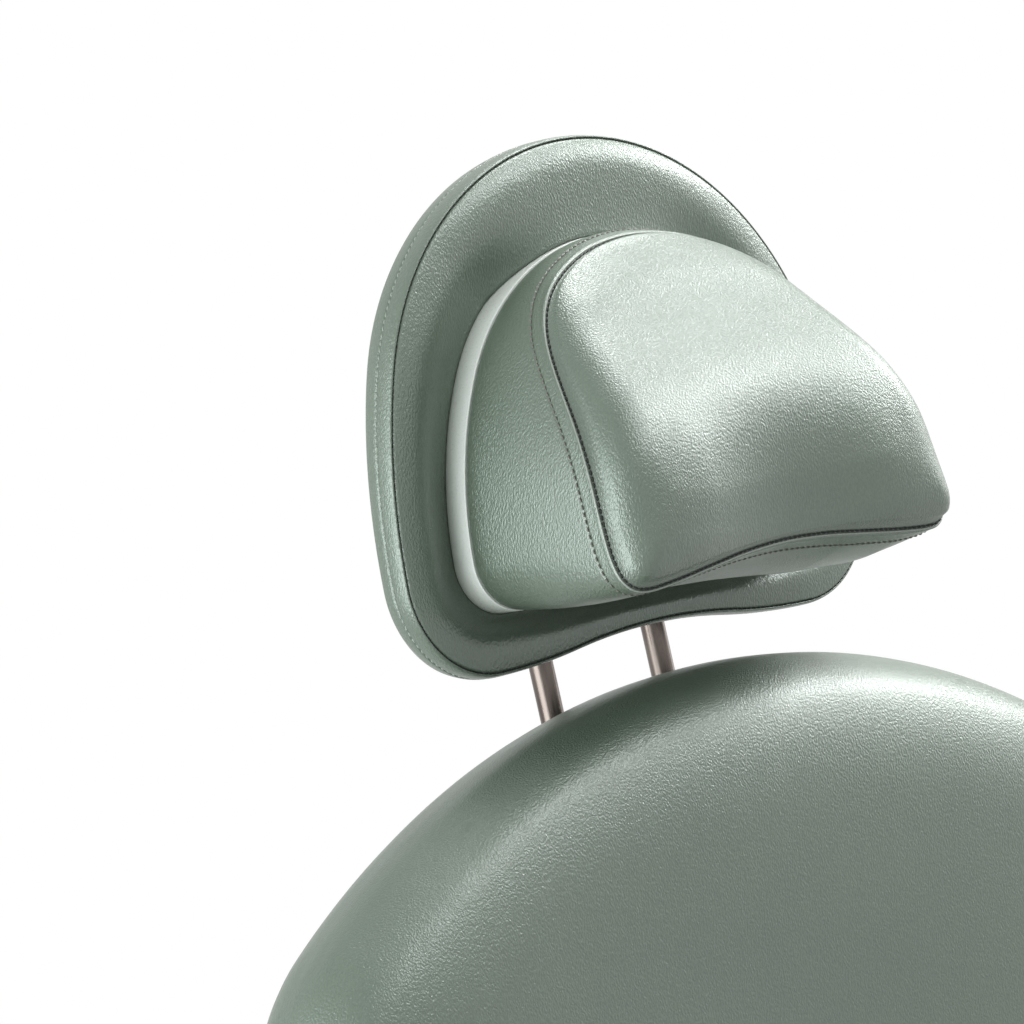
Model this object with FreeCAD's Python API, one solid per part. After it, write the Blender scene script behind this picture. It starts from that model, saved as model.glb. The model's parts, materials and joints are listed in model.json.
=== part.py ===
import FreeCAD, Part
import math
import os

# Power procedure chair, in millimetres.
# X is to the sitter's left as seen from the front, Y points to the back, Z is up.
# The floor is Z = 0 and the origin is the centre of the base plate's anchor pattern.

Vec = FreeCAD.Vector
ALONG_X = Vec(1, 0, 0)
ALONG_Y = Vec(0, 1, 0)
ALONG_Z = Vec(0, 0, 1)

# Fits
running_fit = 0.06
slide_gap = 0.4
lug_gap = 1.0

# Base plate and its anchor holes
plate_half_width = 260.0
plate_half_length = 360.0
plate_thick = 12.0
plate_corner = 60.0
plate_edge = 3.0
anchor_half_x = 215.0
anchor_half_y = 315.0
anchor_hole_radius = 5.5

# Base cover
cover_half_width = 180.0
cover_half_length = 265.0
cover_corner = 60.0
cover_height = 58.0
cover_edge = 26.0
cover_wall = 3.0
collar_margin = 28.0
collar_corner = 44.0
collar_height = 106.0
collar_edge = 12.0
collar_root = 18.0
collar_gap = 1.0

# Lift column, three stages
column_forward = 40.0
column_half_x = 100.0
column_half_y = 80.0
column_wall = 4.0
column_corner = 20.0
column_length = 288.0
stage_step = 4.0
motor_half_x = 50.0
motor_half_y = 40.0
motor_height = 50.0
spider_thick = 6.0
screw_radius = 8.0
screw_tube_wall = 4.9

# Lift head and risers
head_plate_half_x = 125.0
head_plate_half_y = 100.0
head_plate_thick = 12.0
inner_stage_stand = 12.0
riser_half_gap = 104.0
riser_thick = 8.0
riser_half_length = 90.0

# Control box, mains inlet and foot control
box_half_x = 70.0
box_y = 175.0
box_half_y = 55.0
box_height = 42.0
inlet_y = 150.0
inlet_z = 31.0
inlet_half_y = 15.0
inlet_half_z = 11.0
inlet_flange = 6.0
inlet_flange_thick = 2.5
inlet_depth = 22.0
inlet_wall = 3.0
inlet_pin_half = 1.0
inlet_pin_length = 12.0
inlet_pin_pitch = 7.0
pedal_half_x = 140.0
pedal_y = 320.0
pedal_half_y = 32.0
pedal_height = 34.0
pedal_edge = 8.0
button_pitch = 64.0
button_radius = 23.0
button_height = 16.0
button_travel = 5.0
button_floor = 1.0
button_proud = 8.0
button_edge = 4.0

# Seat
seat_top = 560.0
seat_front_reach = 330.0
seat_rear = 130.0
seat_pad_thick = 100.0
seat_half_rear = 285.0
seat_half_front = 295.0
seat_draw_in = 8.0
seat_front_bow = 20.0
seat_front_corner = 90.0
seat_rear_corner = 45.0
seat_crown = 12.0
seat_top_roll = 38.0
seat_bottom_roll = 14.0
seat_board_inset = 24.0
seat_board_thick = 12.0

# Seat frame
rail_half_gap = 150.0
rail_width = 40.0
rail_height = 50.0
rail_wall = 3.0
rail_front_reach = 15.0
rail_rear_reach = 40.0
lug_thick = 8.0
crossbar_thick = 10.0
crossbar_width = 40.0
crossbar_offset = 60.0
front_crossbar_reach = 230.0
lug_clear = 2.0
lug_strip = 17.0
lug_foot = 7.0

# Hinges of the back and the legrest
back_hinge_gap = 32.0
back_hinge_drop = 55.0
leg_hinge_gap = 36.0
leg_hinge_drop = 60.0
back_lean = 18.5
back_lug_radius = 20.0
leg_lug_radius = 16.0
hinge_pin_radius = 8.0
pin_proud = 3.0

# Powered ranges in degrees, counted from the rest pose
back_upright = -3.0
back_flat = 67.0
leg_angle = 80.0
leg_raise = 80.0

# Seat side covers, accessory rails and arm posts
side_cover_half = 280.0
side_cover_wall = 4.0
side_cover_drop = 56.0
side_cover_flange = 60.0
bar_half_x = 305.0
bar_thick = 10.0
bar_height = 25.0
bar_front_reach = 300.0
bar_rear = 0.0
bar_drop = 23.0
bar_edge = 2.0
standoff_radius = 8.0
standoff_inset = 40.0
cover_hole_gap = 1.5
arm_post_x = 340.0
arm_post_radius = 15.0
arm_post_bend = 45.0
arm_pivot_y = 70.0
arm_pivot_rise = 152.0
arm_boss_radius = 20.0
arm_boss_half = 26.0
arm_boss_shift = 8.0
arm_foot_radius = 22.0
arm_foot_thick = 8.0

# Armrests
arm_hub_gap = 1.0
arm_hub_width = 58.0
arm_bar_width = 40.0
arm_bar_thick = 12.0
arm_bar_reach = 290.0
arm_pad_half_x = 40.0
arm_pad_reach = 320.0
arm_pad_rear = 45.0
arm_pad_thick = 45.0
arm_pad_crown = 5.0
arm_pad_corner = 36.0
arm_pad_roll = 16.0

# Backrest pad: arched top, round shoulders and a waist
back_length = 773.0
back_half_width = 346.0
back_top_arc = 505.0
back_shoulder = 120.0
back_half_bottom = 285.0
back_pad_start = 35.0
back_pad_depth = 40.0
back_bottom_corner = 60.0
back_crown = 8.0
back_front_roll = 28.0
back_rear_roll = 46.0

# Backrest board, frame and shell
back_board_thick = 7.0
back_board_inset = 46.0
upright_width = 30.0
upright_depth = 30.0
upright_start = 40.0
back_bar_start = 60.0
back_bar_width = 40.0
shell_inset = 40.0
shell_wall = 3.0
shell_depth = 100.0
shell_roll = 42.0
shell_open = 88.0

# Headrest posts and their guides
post_radius = 7.0
post_half_gap = 45.0
post_depth = 10.5
post_lift = 20.0
guide_half_width = 72.0
guide_drop = 58.0
guide_length = 125.0
guide_depth = 25.0
sleeve_wall = 2.0
sleeve_lift = 6.0
sleeve_flange = 3.0
sleeve_flange_thick = 4.0
sleeve_hole_gap = 1.0
lock_drop = 50.0
lock_shaft_radius = 5.0
lock_shaft_grip = 6.0
lock_knob_radius = 22.0
lock_knob_depth = 25.0
lock_knob_gap = 3.0
knob_lobes = 6
knob_lobe_radius = 5.0

# Headrest tilt pivot
head_lean = 15.5
head_rise = 30.0
pivot_v = 120.0
pivot_stand = 31.0
pivot_pin_radius = 6.0
post_head_inner = 33.0
post_head_outer = 58.0
post_head_half_w = 17.5
post_head_half_n = 16.5
post_head_edge = 5.0
tilt_knob_radius = 18.0
tilt_knob_width = 24.0
ear_inner = 20.0
ear_outer = 32.0
ear_radius = 15.0
bracket_half_x = 60.0
bracket_half_v = 35.0
bracket_thick = 4.0
screw_head_radius = 5.5
screw_head_height = 3.0
screw_shank_radius = 3.0
screw_half_x = 48.0
screw_half_v = 25.0

# Headrest panel: arch outline, boxing and dished front
panel_half_width = 176.0
panel_side_arc = 346.0
panel_top = 274.0
panel_drop = 7.0
panel_corner = 55.0
panel_rise = 9.0
panel_boxing = 22.0
panel_rim = 10.0
panel_slope = 44.0
panel_dish = 10.0
panel_front_edge = 4.0
panel_rear_edge = 6.0
head_board_inset = 12.0
head_board_thick = 8.0

# Cream trim plate under the head cushion
trim_half_width = 133.5
trim_side_arc = 207.0
trim_top = 218.0
trim_bottom = 24.0
trim_corner = 30.0
trim_front = 6.0
trim_sink = 2.0
trim_edge = 0.6

# Head cushion: wedge with two lobes and a valley
wedge_foot = 123.0
wedge_slope = 0.42
wedge_bow = 10.5
wedge_bow_top = 175.0
seam_waist = 110.0
seam_waist_v = 130.0
seam_arch = 88.0
seam_arch_power = 2.0
seam_flare = 0.17
cushion_bottom = 27.0
cushion_levels = 9
cushion_top_gap = 2.5
cushion_inset = 1.0
lobe_height = 26.0
valley_height = 9.0
lobe_place = 0.6
valley_place = 0.26
lobe_power = 0.6

# Legrest
leg_pad_start = 30.0
leg_pad_end = 400.0
leg_half_top = 270.0
leg_half_bottom = 235.0
leg_draw_in = 6.0
leg_top_corner = 45.0
leg_bottom_corner = 100.0
leg_pad_thick = 75.0
leg_crown = 8.0
leg_front_roll = 30.0
leg_rear_roll = 12.0
leg_board_thick = 10.0
leg_board_inset = 18.0
leg_board_start = 60.0
leg_rail_width = 34.0
leg_rail_depth = 35.0
leg_rail_start = 75.0
leg_rail_end_gap = 9.0
leg_bar_width = 30.0
leg_bar_second = 200.0
leg_bar_third = 340.0
leg_shell_inset = 13.0
leg_shell_wall = 3.0
leg_shell_depth = 57.0
leg_shell_roll = 26.0
leg_shell_start = 112.0
leg_shell_mouth = 18.0

# Foot extension
foot_rod_radius = 7.0
foot_rod_x = 95.0
foot_rod_start = 115.0
foot_bar_start = 412.0
foot_bar_width = 20.0
foot_bar_half = 115.0
foot_pad_gap = 4.0
foot_pad_length = 66.0
foot_pad_half = 190.0
foot_pad_corner = 30.0
foot_pad_crown = 5.0
foot_pad_roll = 16.0

# Linear actuators and the slotted levers that they push
actuator_drop = 36.0
actuator_x = 60.0
actuator_tube_radius = 22.0
actuator_gear_radius = 27.0
actuator_gear_length = 35.0
actuator_motor_radius = 20.0
actuator_motor_length = 70.0
actuator_bore_gap = 0.3
actuator_rod_radius = 9.0
actuator_eye_radius = 13.0
actuator_eye_half = 11.0
actuator_pin_radius = 6.0
actuator_pin_half = 25.0
lever_plate_gap = 14.0
lever_plate_thick = 8.0
lever_rim = 8.0
slot_play = 0.4
slot_end_play = 2.0
back_slope = 1.108
back_slot_error = 2.42
leg_slope = 1.149
leg_slot_error = 3.66
back_tube_reach = 180.0
back_tube_rear = 60.0
back_rod_length = 205.0
leg_tube_reach = 200.0
leg_tube_rear = 40.0
leg_rod_length = 284.0
clamp_half_x = 30.0
clamp_drop = 6.0
clamp_length = 24.0

# Places in front of or behind the middle, from the reaches above
column_y = -column_forward
seat_front = -seat_front_reach
front_crossbar_y = -front_crossbar_reach
bar_front = -bar_front_reach
arm_bar_front = -arm_bar_reach
arm_pad_front = -arm_pad_reach
back_tube_front = -back_tube_reach
leg_tube_front = -leg_tube_reach
back_pad_rear = -back_pad_depth
shell_rear = -shell_depth
panel_bottom = -panel_drop

# Levels and places that follow from the sizes above
plate_top = plate_thick
outer_top = plate_top + column_length
middle_bottom = plate_top + stage_step
middle_top = outer_top + stage_step
motor_top = plate_top + motor_height
spider_bottom = motor_top + stage_step
inner_bottom = spider_bottom + spider_thick + stage_step
inner_top = middle_top + inner_stage_stand
head_plate_top = inner_top + head_plate_thick
seat_pad_bottom = seat_top - seat_pad_thick
seat_board_bottom = seat_pad_bottom - seat_board_thick
rail_bottom = seat_board_bottom - rail_height
crossbar_bottom = seat_board_bottom - crossbar_thick
rail_outer = rail_half_gap + rail_width
rail_middle_z = seat_board_bottom - rail_height / 2
actuator_z = crossbar_bottom - actuator_drop
arm_pivot_z = seat_top + arm_pivot_rise
back_hinge_y = seat_rear + back_hinge_gap
back_hinge_z = seat_top - back_hinge_drop
leg_hinge_y = seat_front - leg_hinge_gap
leg_hinge_z = seat_top - leg_hinge_drop
back_pad_front = back_hinge_drop
back_frame_front = back_pad_rear - back_board_thick
back_frame_rear = back_frame_front - upright_depth
guide_top = back_length - guide_drop
upright_end = guide_top - guide_length
sleeve_bottom = upright_end + sleeve_lift
post_bottom = upright_end + post_lift
post_n = back_frame_front - post_depth
lock_w = guide_top - lock_drop
head_board_rear = -panel_boxing - head_board_thick
pivot_w = back_length + head_rise + pivot_v
pivot_n = head_board_rear - pivot_stand
leg_pad_front = leg_hinge_drop
leg_pad_rear = leg_pad_front - leg_pad_thick
leg_frame_front = leg_pad_rear - leg_board_thick
leg_frame_rear = leg_frame_front - leg_rail_depth
leg_rail_end = leg_pad_end - leg_shell_inset - leg_shell_wall - leg_rail_end_gap
trim_rear = -panel_dish - trim_sink
cover_top = plate_top + cover_height
collar_top = plate_top + collar_height

# Local frames: the back, the headrest and the legrest at rest
back_frame = FreeCAD.Placement(Vec(0, back_hinge_y, back_hinge_z),
                               FreeCAD.Rotation(ALONG_X, 90 - back_lean))
leg_frame = FreeCAD.Placement(Vec(0, leg_hinge_y, leg_hinge_z),
                              FreeCAD.Rotation(ALONG_X, leg_angle))
head_turn = FreeCAD.Rotation(ALONG_X, 90 - head_lean)
head_origin = back_frame.multVec(Vec(0, pivot_w, post_n)) - head_turn.multVec(Vec(0, pivot_v, pivot_n))
head_frame = FreeCAD.Placement(head_origin, head_turn)


def placed(shape, frame):
    """Put a shape that was drawn in a local frame into the chair's frame."""
    moved = shape.copy()
    moved.Placement = frame.multiply(moved.Placement)
    return moved


def box(x0, x1, y0, y1, z0, z1):
    return Part.makeBox(x1 - x0, y1 - y0, z1 - z0, Vec(x0, y0, z0))


def rod_x(radius, x0, x1, y, z):
    return Part.makeCylinder(radius, x1 - x0, Vec(x0, y, z), ALONG_X)


def rod_y(radius, y0, y1, x, z):
    return Part.makeCylinder(radius, y1 - y0, Vec(x, y0, z), ALONG_Y)


def rod_z(radius, z0, z1, x, y):
    return Part.makeCylinder(radius, z1 - z0, Vec(x, y, z0), ALONG_Z)


def joined(shapes):
    result = shapes[0]
    for shape in shapes[1:]:
        result = result.fuse(shape)
    return result.removeSplitter()


def mirrored(shape):
    return shape.mirror(Vec(0, 0, 0), ALONG_X)


def line(a, b):
    return Part.LineSegment(a, b).toShape()


def arc(a, b, c):
    return Part.Arc(a, b, c).toShape()


def on_circle(cx, cy, radius, degrees, z=0.0):
    turn = math.radians(degrees)
    return Vec(cx + radius * math.cos(turn), cy + radius * math.sin(turn), z)


def circle_arc(cx, cy, radius, start, end, z=0.0):
    return arc(on_circle(cx, cy, radius, start, z),
               on_circle(cx, cy, radius, (start + end) / 2, z),
               on_circle(cx, cy, radius, end, z))


def rounded_rectangle(half_x, half_y, corner, cy=0.0, z=0.0):
    """Closed wire of a rectangle with round corners, centred on X = 0."""
    x, y = half_x - corner, half_y - corner
    edges = []
    for sx, sy, start in ((1, -1, -90), (1, 1, 0), (-1, 1, 90), (-1, -1, 180)):
        edges.append(circle_arc(sx * x, cy + sy * y, corner, start, start + 90, z))
    edges.append(line(Vec(-x, cy - half_y, z), Vec(x, cy - half_y, z)))
    edges.append(line(Vec(half_x, cy - y, z), Vec(half_x, cy + y, z)))
    edges.append(line(Vec(x, cy + half_y, z), Vec(-x, cy + half_y, z)))
    edges.append(line(Vec(-half_x, cy + y, z), Vec(-half_x, cy - y, z)))
    return Part.Wire(Part.__sortEdges__(edges))


def prism(wire, height):
    return Part.Face(wire).extrude(Vec(0, 0, height))


def plate_x(points, x0, x1):
    """Flat plate square to X, from corners given as (y, z)."""
    corners = [Vec(x0, y, z) for y, z in points]
    return Part.Face(Part.makePolygon(corners + corners[:1])).extrude(Vec(x1 - x0, 0, 0))


def capsule_x(start, end, radius, x0, x1):
    """Long round-ended block square to X between two (y, z) centres."""
    along = Vec(0, end[0] - start[0], end[1] - start[1])
    along.normalize()
    side = Vec(0, -along.z, along.y) * radius
    a = Vec(0, start[0], start[1])
    b = Vec(0, end[0], end[1])
    corners = [(p.y, p.z) for p in (a - side, b - side, b + side, a + side)]
    ends = [rod_x(radius, x0, x1, *start), rod_x(radius, x0, x1, *end)]
    return joined([plate_x(corners, x0, x1)] + ends)


def level_edges(shape, z):
    """Edges that lie whole in the plane at height z."""
    found = []
    for edge in shape.Edges:
        if abs(edge.BoundBox.ZMin - z) < 1e-4 and abs(edge.BoundBox.ZMax - z) < 1e-4:
            found.append(edge)
    return found


def upright_edges(shape, spots):
    """Edges along Z at the given (x, y) spots."""
    found = []
    for edge in shape.Edges:
        ends = edge.Vertexes
        if len(ends) == 2 and abs(ends[0].X - ends[1].X) + abs(ends[0].Y - ends[1].Y) < 1e-4:
            if any(abs(ends[0].X - x) + abs(ends[0].Y - y) < 1e-3 for x, y in spots):
                found.append(edge)
    return found


def crowned_pad(blank, bottom, top, centre_y, half_span, crown, top_roll, bottom_roll):
    """Cushion: a blank cut by a large ball for its crown, with rolled edges."""
    ball_radius = (half_span ** 2 + crown ** 2) / (2 * crown)
    ball = Part.makeSphere(ball_radius, Vec(0, centre_y, top - ball_radius))
    pad = blank.common(ball)
    pad = pad.makeFillet(bottom_roll, level_edges(pad, bottom))
    crown_face = [face for face in pad.Faces if isinstance(face.Surface, Part.Sphere)][0]
    return pad.makeFillet(top_roll, crown_face.Edges)


def lobed_knob(radius, depth, shaft_radius, shaft_length):
    """Hand knob along +Z from its inner face at Z = 0, with its shaft towards -Z."""
    knob = rod_z(radius, 0, depth, 0, 0)
    knob = knob.makeFillet(depth / 8, level_edges(knob, depth))
    for step in range(knob_lobes):
        spot = on_circle(0, 0, radius + knob_lobe_radius / 2, 360 * step / knob_lobes)
        knob = knob.cut(rod_z(knob_lobe_radius, -1, depth + 1, spot.x, spot.y))
    return joined([knob, rod_z(shaft_radius, -shaft_length, depth / 2, 0, 0)])


# Base

def base_plate():
    plate = prism(rounded_rectangle(plate_half_width, plate_half_length, plate_corner), plate_thick)
    plate = plate.makeFillet(plate_edge, level_edges(plate, plate_top))
    for sx in (-1, 1):
        for sy in (-1, 1):
            plate = plate.cut(rod_z(anchor_hole_radius, -1, plate_top + 1,
                                    sx * anchor_half_x, sy * anchor_half_y))
    return plate


def cover_form(inset):
    """Outside of the base cover, or its inside when inset by the wall."""
    tub = prism(rounded_rectangle(cover_half_width - inset, cover_half_length - inset,
                                  cover_corner - inset, 0, plate_top), cover_height - inset)
    tub = tub.makeFillet(cover_edge - inset, level_edges(tub, cover_top - inset))
    collar = prism(rounded_rectangle(column_half_x + collar_margin - inset,
                                     column_half_y + collar_margin - inset,
                                     collar_corner - inset, column_y, plate_top),
                   collar_height - inset)
    collar = collar.makeFillet(collar_edge - inset, level_edges(collar, collar_top - inset))
    form = joined([tub, collar])
    root = [edge for edge in level_edges(form, cover_top - inset)
            if edge.BoundBox.XMax < column_half_x + collar_margin + 1
            and edge.BoundBox.XMin > -column_half_x - collar_margin - 1
            and abs(edge.CenterOfMass.y - column_y) < column_half_y + collar_margin + 1]
    return form.makeFillet(collar_root + inset, root)


def base_cover():
    cover = cover_form(0).cut(cover_form(cover_wall))
    hole = prism(rounded_rectangle(column_half_x + collar_gap, column_half_y + collar_gap,
                                   column_corner + collar_gap, column_y, cover_top),
                 collar_height)
    window = box(-cover_half_width - 1, -cover_half_width + cover_wall + 1,
                 inlet_y - inlet_half_y, inlet_y + inlet_half_y,
                 inlet_z - inlet_half_z, inlet_z + inlet_half_z)
    return cover.cut(hole).cut(window)


def column_stage(stage, bottom, top):
    """One square tube of the lift column, counted from the outside."""
    inset = stage * (column_wall + slide_gap)
    outside = rounded_rectangle(column_half_x - inset, column_half_y - inset,
                                column_corner - inset / 2, column_y, bottom)
    inside = rounded_rectangle(column_half_x - inset - column_wall, column_half_y - inset - column_wall,
                               column_corner - inset / 2 - column_wall / 2, column_y, bottom)
    return prism(outside, top - bottom).cut(prism(inside, top - bottom))


def lift_motor():
    block = box(-motor_half_x, motor_half_x, column_y - motor_half_y, column_y + motor_half_y,
                plate_top, motor_top)
    corners = [(sx * motor_half_x, column_y + sy * motor_half_y) for sx in (-1, 1) for sy in (-1, 1)]
    return block.makeFillet(screw_radius, upright_edges(block, corners))


def lift_screw():
    return rod_z(screw_radius, motor_top, outer_top, 0, column_y)


def screw_tube(inner, bottom, top):
    return rod_z(inner + screw_tube_wall, bottom, top, 0, column_y).cut(
        rod_z(inner, bottom, top, 0, column_y))


middle_screw_bore = screw_radius + running_fit
nut_bore = middle_screw_bore + screw_tube_wall + running_fit


def lift_screw_middle():
    inset = 2 * column_wall + slide_gap
    spider = prism(rounded_rectangle(column_half_x - inset, column_half_y - inset,
                                     column_corner - (column_wall + slide_gap) / 2 - column_wall / 2,
                                     column_y, spider_bottom), spider_thick)
    spider = spider.cut(rod_z(middle_screw_bore, spider_bottom, inner_top, 0, column_y))
    return joined([spider, screw_tube(middle_screw_bore, spider_bottom, middle_top)])


def control_box():
    case = box(-box_half_x, box_half_x, box_y - box_half_y, box_y + box_half_y,
               plate_top, plate_top + box_height)
    return case.makeFillet(inlet_wall, level_edges(case, plate_top + box_height))


def mains_inlet():
    face = -cover_half_width
    back = face + inlet_depth
    flange = box(face - inlet_flange_thick, face,
                 inlet_y - inlet_half_y - inlet_flange, inlet_y + inlet_half_y + inlet_flange,
                 inlet_z - inlet_half_z - inlet_wall, inlet_z + inlet_half_z + inlet_wall)
    body = box(face, back, inlet_y - inlet_half_y, inlet_y + inlet_half_y,
               inlet_z - inlet_half_z, inlet_z + inlet_half_z)
    well = box(face - inlet_flange_thick, back - inlet_wall,
               inlet_y - inlet_half_y + inlet_wall, inlet_y + inlet_half_y - inlet_wall,
               inlet_z - inlet_half_z + inlet_wall, inlet_z + inlet_half_z - inlet_wall)
    pins = [box(back - inlet_wall - inlet_pin_length, back - inlet_wall,
                inlet_y + step * inlet_pin_pitch - inlet_pin_half,
                inlet_y + step * inlet_pin_pitch + inlet_pin_half,
                inlet_z - 2 * inlet_pin_half, inlet_z + 2 * inlet_pin_half) for step in (-1, 0, 1)]
    return joined([joined([flange, body]).cut(well)] + pins)


button_names = ("foot_button_raise", "foot_button_lower", "foot_button_recline", "foot_button_legs")
pedal_top = plate_top + pedal_height
button_bottom = pedal_top + button_proud - button_height


def button_x(index):
    return (index - (len(button_names) - 1) / 2) * button_pitch


def foot_control_housing():
    housing = box(-pedal_half_x, pedal_half_x, pedal_y - pedal_half_y, pedal_y + pedal_half_y,
                  plate_top, pedal_top)
    corners = [(sx * pedal_half_x, pedal_y + sy * pedal_half_y) for sx in (-1, 1) for sy in (-1, 1)]
    housing = housing.makeFillet(2 * pedal_edge, upright_edges(housing, corners))
    housing = housing.makeFillet(pedal_edge / 2, level_edges(housing, pedal_top))
    for index in range(len(button_names)):
        housing = housing.cut(rod_z(button_radius + slide_gap,
                                    button_bottom - button_travel - button_floor, pedal_top + 1,
                                    button_x(index), pedal_y))
    return housing


def foot_button(index):
    top = button_bottom + button_height
    button = rod_z(button_radius, button_bottom, top, button_x(index), pedal_y)
    return button.makeFillet(button_edge, level_edges(button, top))


# Lift head and seat frame

def lift_nut_tube():
    return screw_tube(nut_bore, inner_bottom, inner_top)


def lift_head():
    return box(-head_plate_half_x, head_plate_half_x, column_y - head_plate_half_y,
               column_y + head_plate_half_y, inner_top, head_plate_top)


def lift_risers():
    right = box(riser_half_gap, riser_half_gap + riser_thick, column_y - riser_half_length,
                column_y + riser_half_length, head_plate_top, crossbar_bottom)
    return Part.makeCompound([right, mirrored(right)])


def seat_rail():
    """Right-hand rail with the lugs for the back hinge and the legrest hinge."""
    front = seat_front - rail_front_reach
    rear = seat_rear + rail_rear_reach
    tube = box(rail_half_gap, rail_outer, front, rear, rail_bottom, seat_board_bottom)
    tube = tube.cut(box(rail_half_gap + rail_wall, rail_outer - rail_wall, front, rear,
                        rail_bottom + rail_wall, seat_board_bottom - rail_wall))
    x0, x1 = rail_half_gap, rail_half_gap + lug_thick
    near = seat_front - lug_clear
    far = near - lug_strip
    foot = rail_bottom + lug_foot
    leg_plate = plate_x([(far, foot), (near, foot), (near, leg_hinge_z - leg_lug_radius),
                         (leg_hinge_y + leg_lug_radius * 0.8, leg_hinge_z + leg_lug_radius * 0.6),
                         (leg_hinge_y, leg_hinge_z - leg_lug_radius),
                         (far, leg_hinge_z - 1.5 * leg_lug_radius)], x0, x1)
    back_plate = plate_x([(seat_rear + 2 * lug_clear, foot), (rear, foot),
                          (back_hinge_y + back_lug_radius * 0.95, back_hinge_z - back_lug_radius * 0.3),
                          (back_hinge_y - back_lug_radius * 0.95, back_hinge_z + back_lug_radius * 0.3),
                          (seat_rear + 2 * lug_clear, back_hinge_z - 2 * back_lug_radius)], x0, x1)
    rail = joined([tube, leg_plate, back_plate,
                   rod_x(leg_lug_radius, x0, x1, leg_hinge_y, leg_hinge_z),
                   rod_x(back_lug_radius, x0, x1, back_hinge_y, back_hinge_z)])
    for y, z in ((leg_hinge_y, leg_hinge_z), (back_hinge_y, back_hinge_z)):
        rail = rail.cut(rod_x(hinge_pin_radius, x0 - 1, x1 + 1, y, z))
    return rail


def seat_rails():
    right = seat_rail()
    return Part.makeCompound([right, mirrored(right)])


crossbar_ys = (front_crossbar_y, column_y - crossbar_offset, column_y + crossbar_offset)


def seat_crossbars():
    bars = [box(-rail_half_gap, rail_half_gap, y - crossbar_width / 2, y + crossbar_width / 2,
                crossbar_bottom, seat_board_bottom) for y in crossbar_ys]
    return Part.makeCompound(bars)


def seat_blank(inset, bottom, height):
    """Plan of the seat, with sides drawn in between the corners and a bowed front."""
    front, rear = seat_front + inset, seat_rear - inset
    half_front, half_rear = seat_half_front - inset, seat_half_rear - inset
    corner_y = front + seat_front_bow
    waist = (half_front + half_rear) / 2 - seat_draw_in
    middle_y = (corner_y + rear) / 2
    a, b = Vec(half_front, corner_y, bottom), Vec(half_rear, rear, bottom)
    c, d = Vec(-half_rear, rear, bottom), Vec(-half_front, corner_y, bottom)
    wire = Part.Wire([arc(d, Vec(0, front, bottom), a), arc(a, Vec(waist, middle_y, bottom), b),
                      line(b, c), arc(c, Vec(-waist, middle_y, bottom), d)])
    blank = prism(wire, height)
    blank = blank.makeFillet(seat_front_corner - inset,
                             upright_edges(blank, [(half_front, corner_y), (-half_front, corner_y)]))
    return blank.makeFillet(seat_rear_corner - inset,
                            upright_edges(blank, [(half_rear, rear), (-half_rear, rear)]))


def seat_board():
    return seat_blank(seat_board_inset, seat_board_bottom, seat_board_thick)


def seat_cushion():
    blank = seat_blank(0, seat_pad_bottom, 2 * seat_pad_thick)
    return crowned_pad(blank, seat_pad_bottom, seat_top, (seat_front + seat_rear) / 2,
                       seat_half_front, seat_crown, seat_top_roll, seat_bottom_roll)


standoff_z = seat_board_bottom - bar_drop - bar_height / 2
standoff_ys = (bar_front + standoff_inset, bar_rear - standoff_inset)


def side_cover():
    """Right-hand cover: an upright wall with a flange under the seat board."""
    front, rear = seat_front + seat_front_corner, seat_rear - seat_rear_corner
    bottom = seat_board_bottom - side_cover_drop
    outer = side_cover_half
    wall = box(outer - side_cover_wall, outer, front, rear, bottom, seat_board_bottom)
    flange = box(outer - side_cover_flange, outer, front, rear,
                 seat_board_bottom - side_cover_wall, seat_board_bottom)
    cover = joined([wall, flange])
    ends = [edge for edge in cover.Edges if abs(edge.BoundBox.ZMax - bottom) < 1e-4
            and edge.BoundBox.YLength < 1e-4]
    cover = cover.makeFillet(side_cover_drop / 2, ends)
    for y in standoff_ys:
        cover = cover.cut(rod_x(standoff_radius + cover_hole_gap, rail_outer, outer + 1, y, standoff_z))
    return cover.cut(rod_x(arm_post_radius + cover_hole_gap, rail_outer, outer + 1,
                           arm_pivot_y, rail_middle_z))


def seat_side_covers():
    right = side_cover()
    return Part.makeCompound([right, mirrored(right)])


def accessory_rails():
    low = standoff_z - bar_height / 2
    bar = box(bar_half_x, bar_half_x + bar_thick, bar_front, bar_rear, low, low + bar_height)
    bar = bar.makeFillet(bar_edge, bar.Edges)
    right = joined([bar] + [rod_x(standoff_radius, rail_outer, bar_half_x + bar_thick / 2, y, standoff_z)
                            for y in standoff_ys])
    return Part.makeCompound([right, mirrored(right)])


boss_inner = arm_post_x + arm_boss_shift - arm_boss_half
boss_outer = arm_post_x + arm_boss_shift + arm_boss_half


def arm_post():
    """Right-hand arm post: a bent tube from the seat rail up to the arm's pivot boss."""
    y, low = arm_pivot_y, rail_middle_z
    turn_x = arm_post_x - arm_post_bend
    turn_z = low + arm_post_bend
    level = rod_x(arm_post_radius, rail_outer, turn_x, y, low)
    bend = Part.makeTorus(arm_post_bend, arm_post_radius, Vec(turn_x, y, turn_z), ALONG_Y)
    bend = bend.common(box(turn_x, arm_post_x + arm_post_bend, y - arm_post_bend, y + arm_post_bend,
                           low - arm_post_bend, turn_z))
    stem = rod_z(arm_post_radius, turn_z, arm_pivot_z, arm_post_x, y)
    boss = rod_x(arm_boss_radius, boss_inner, boss_outer, y, arm_pivot_z)
    foot = rod_x(arm_foot_radius, rail_outer, rail_outer + arm_foot_thick, y, low)
    post = joined([level, bend, stem, boss, foot])
    return post.cut(rod_x(hinge_pin_radius, boss_inner - 1, boss_outer + 1, y, arm_pivot_z))


def arm_posts():
    right = arm_post()
    return Part.makeCompound([right, mirrored(right)])


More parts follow.
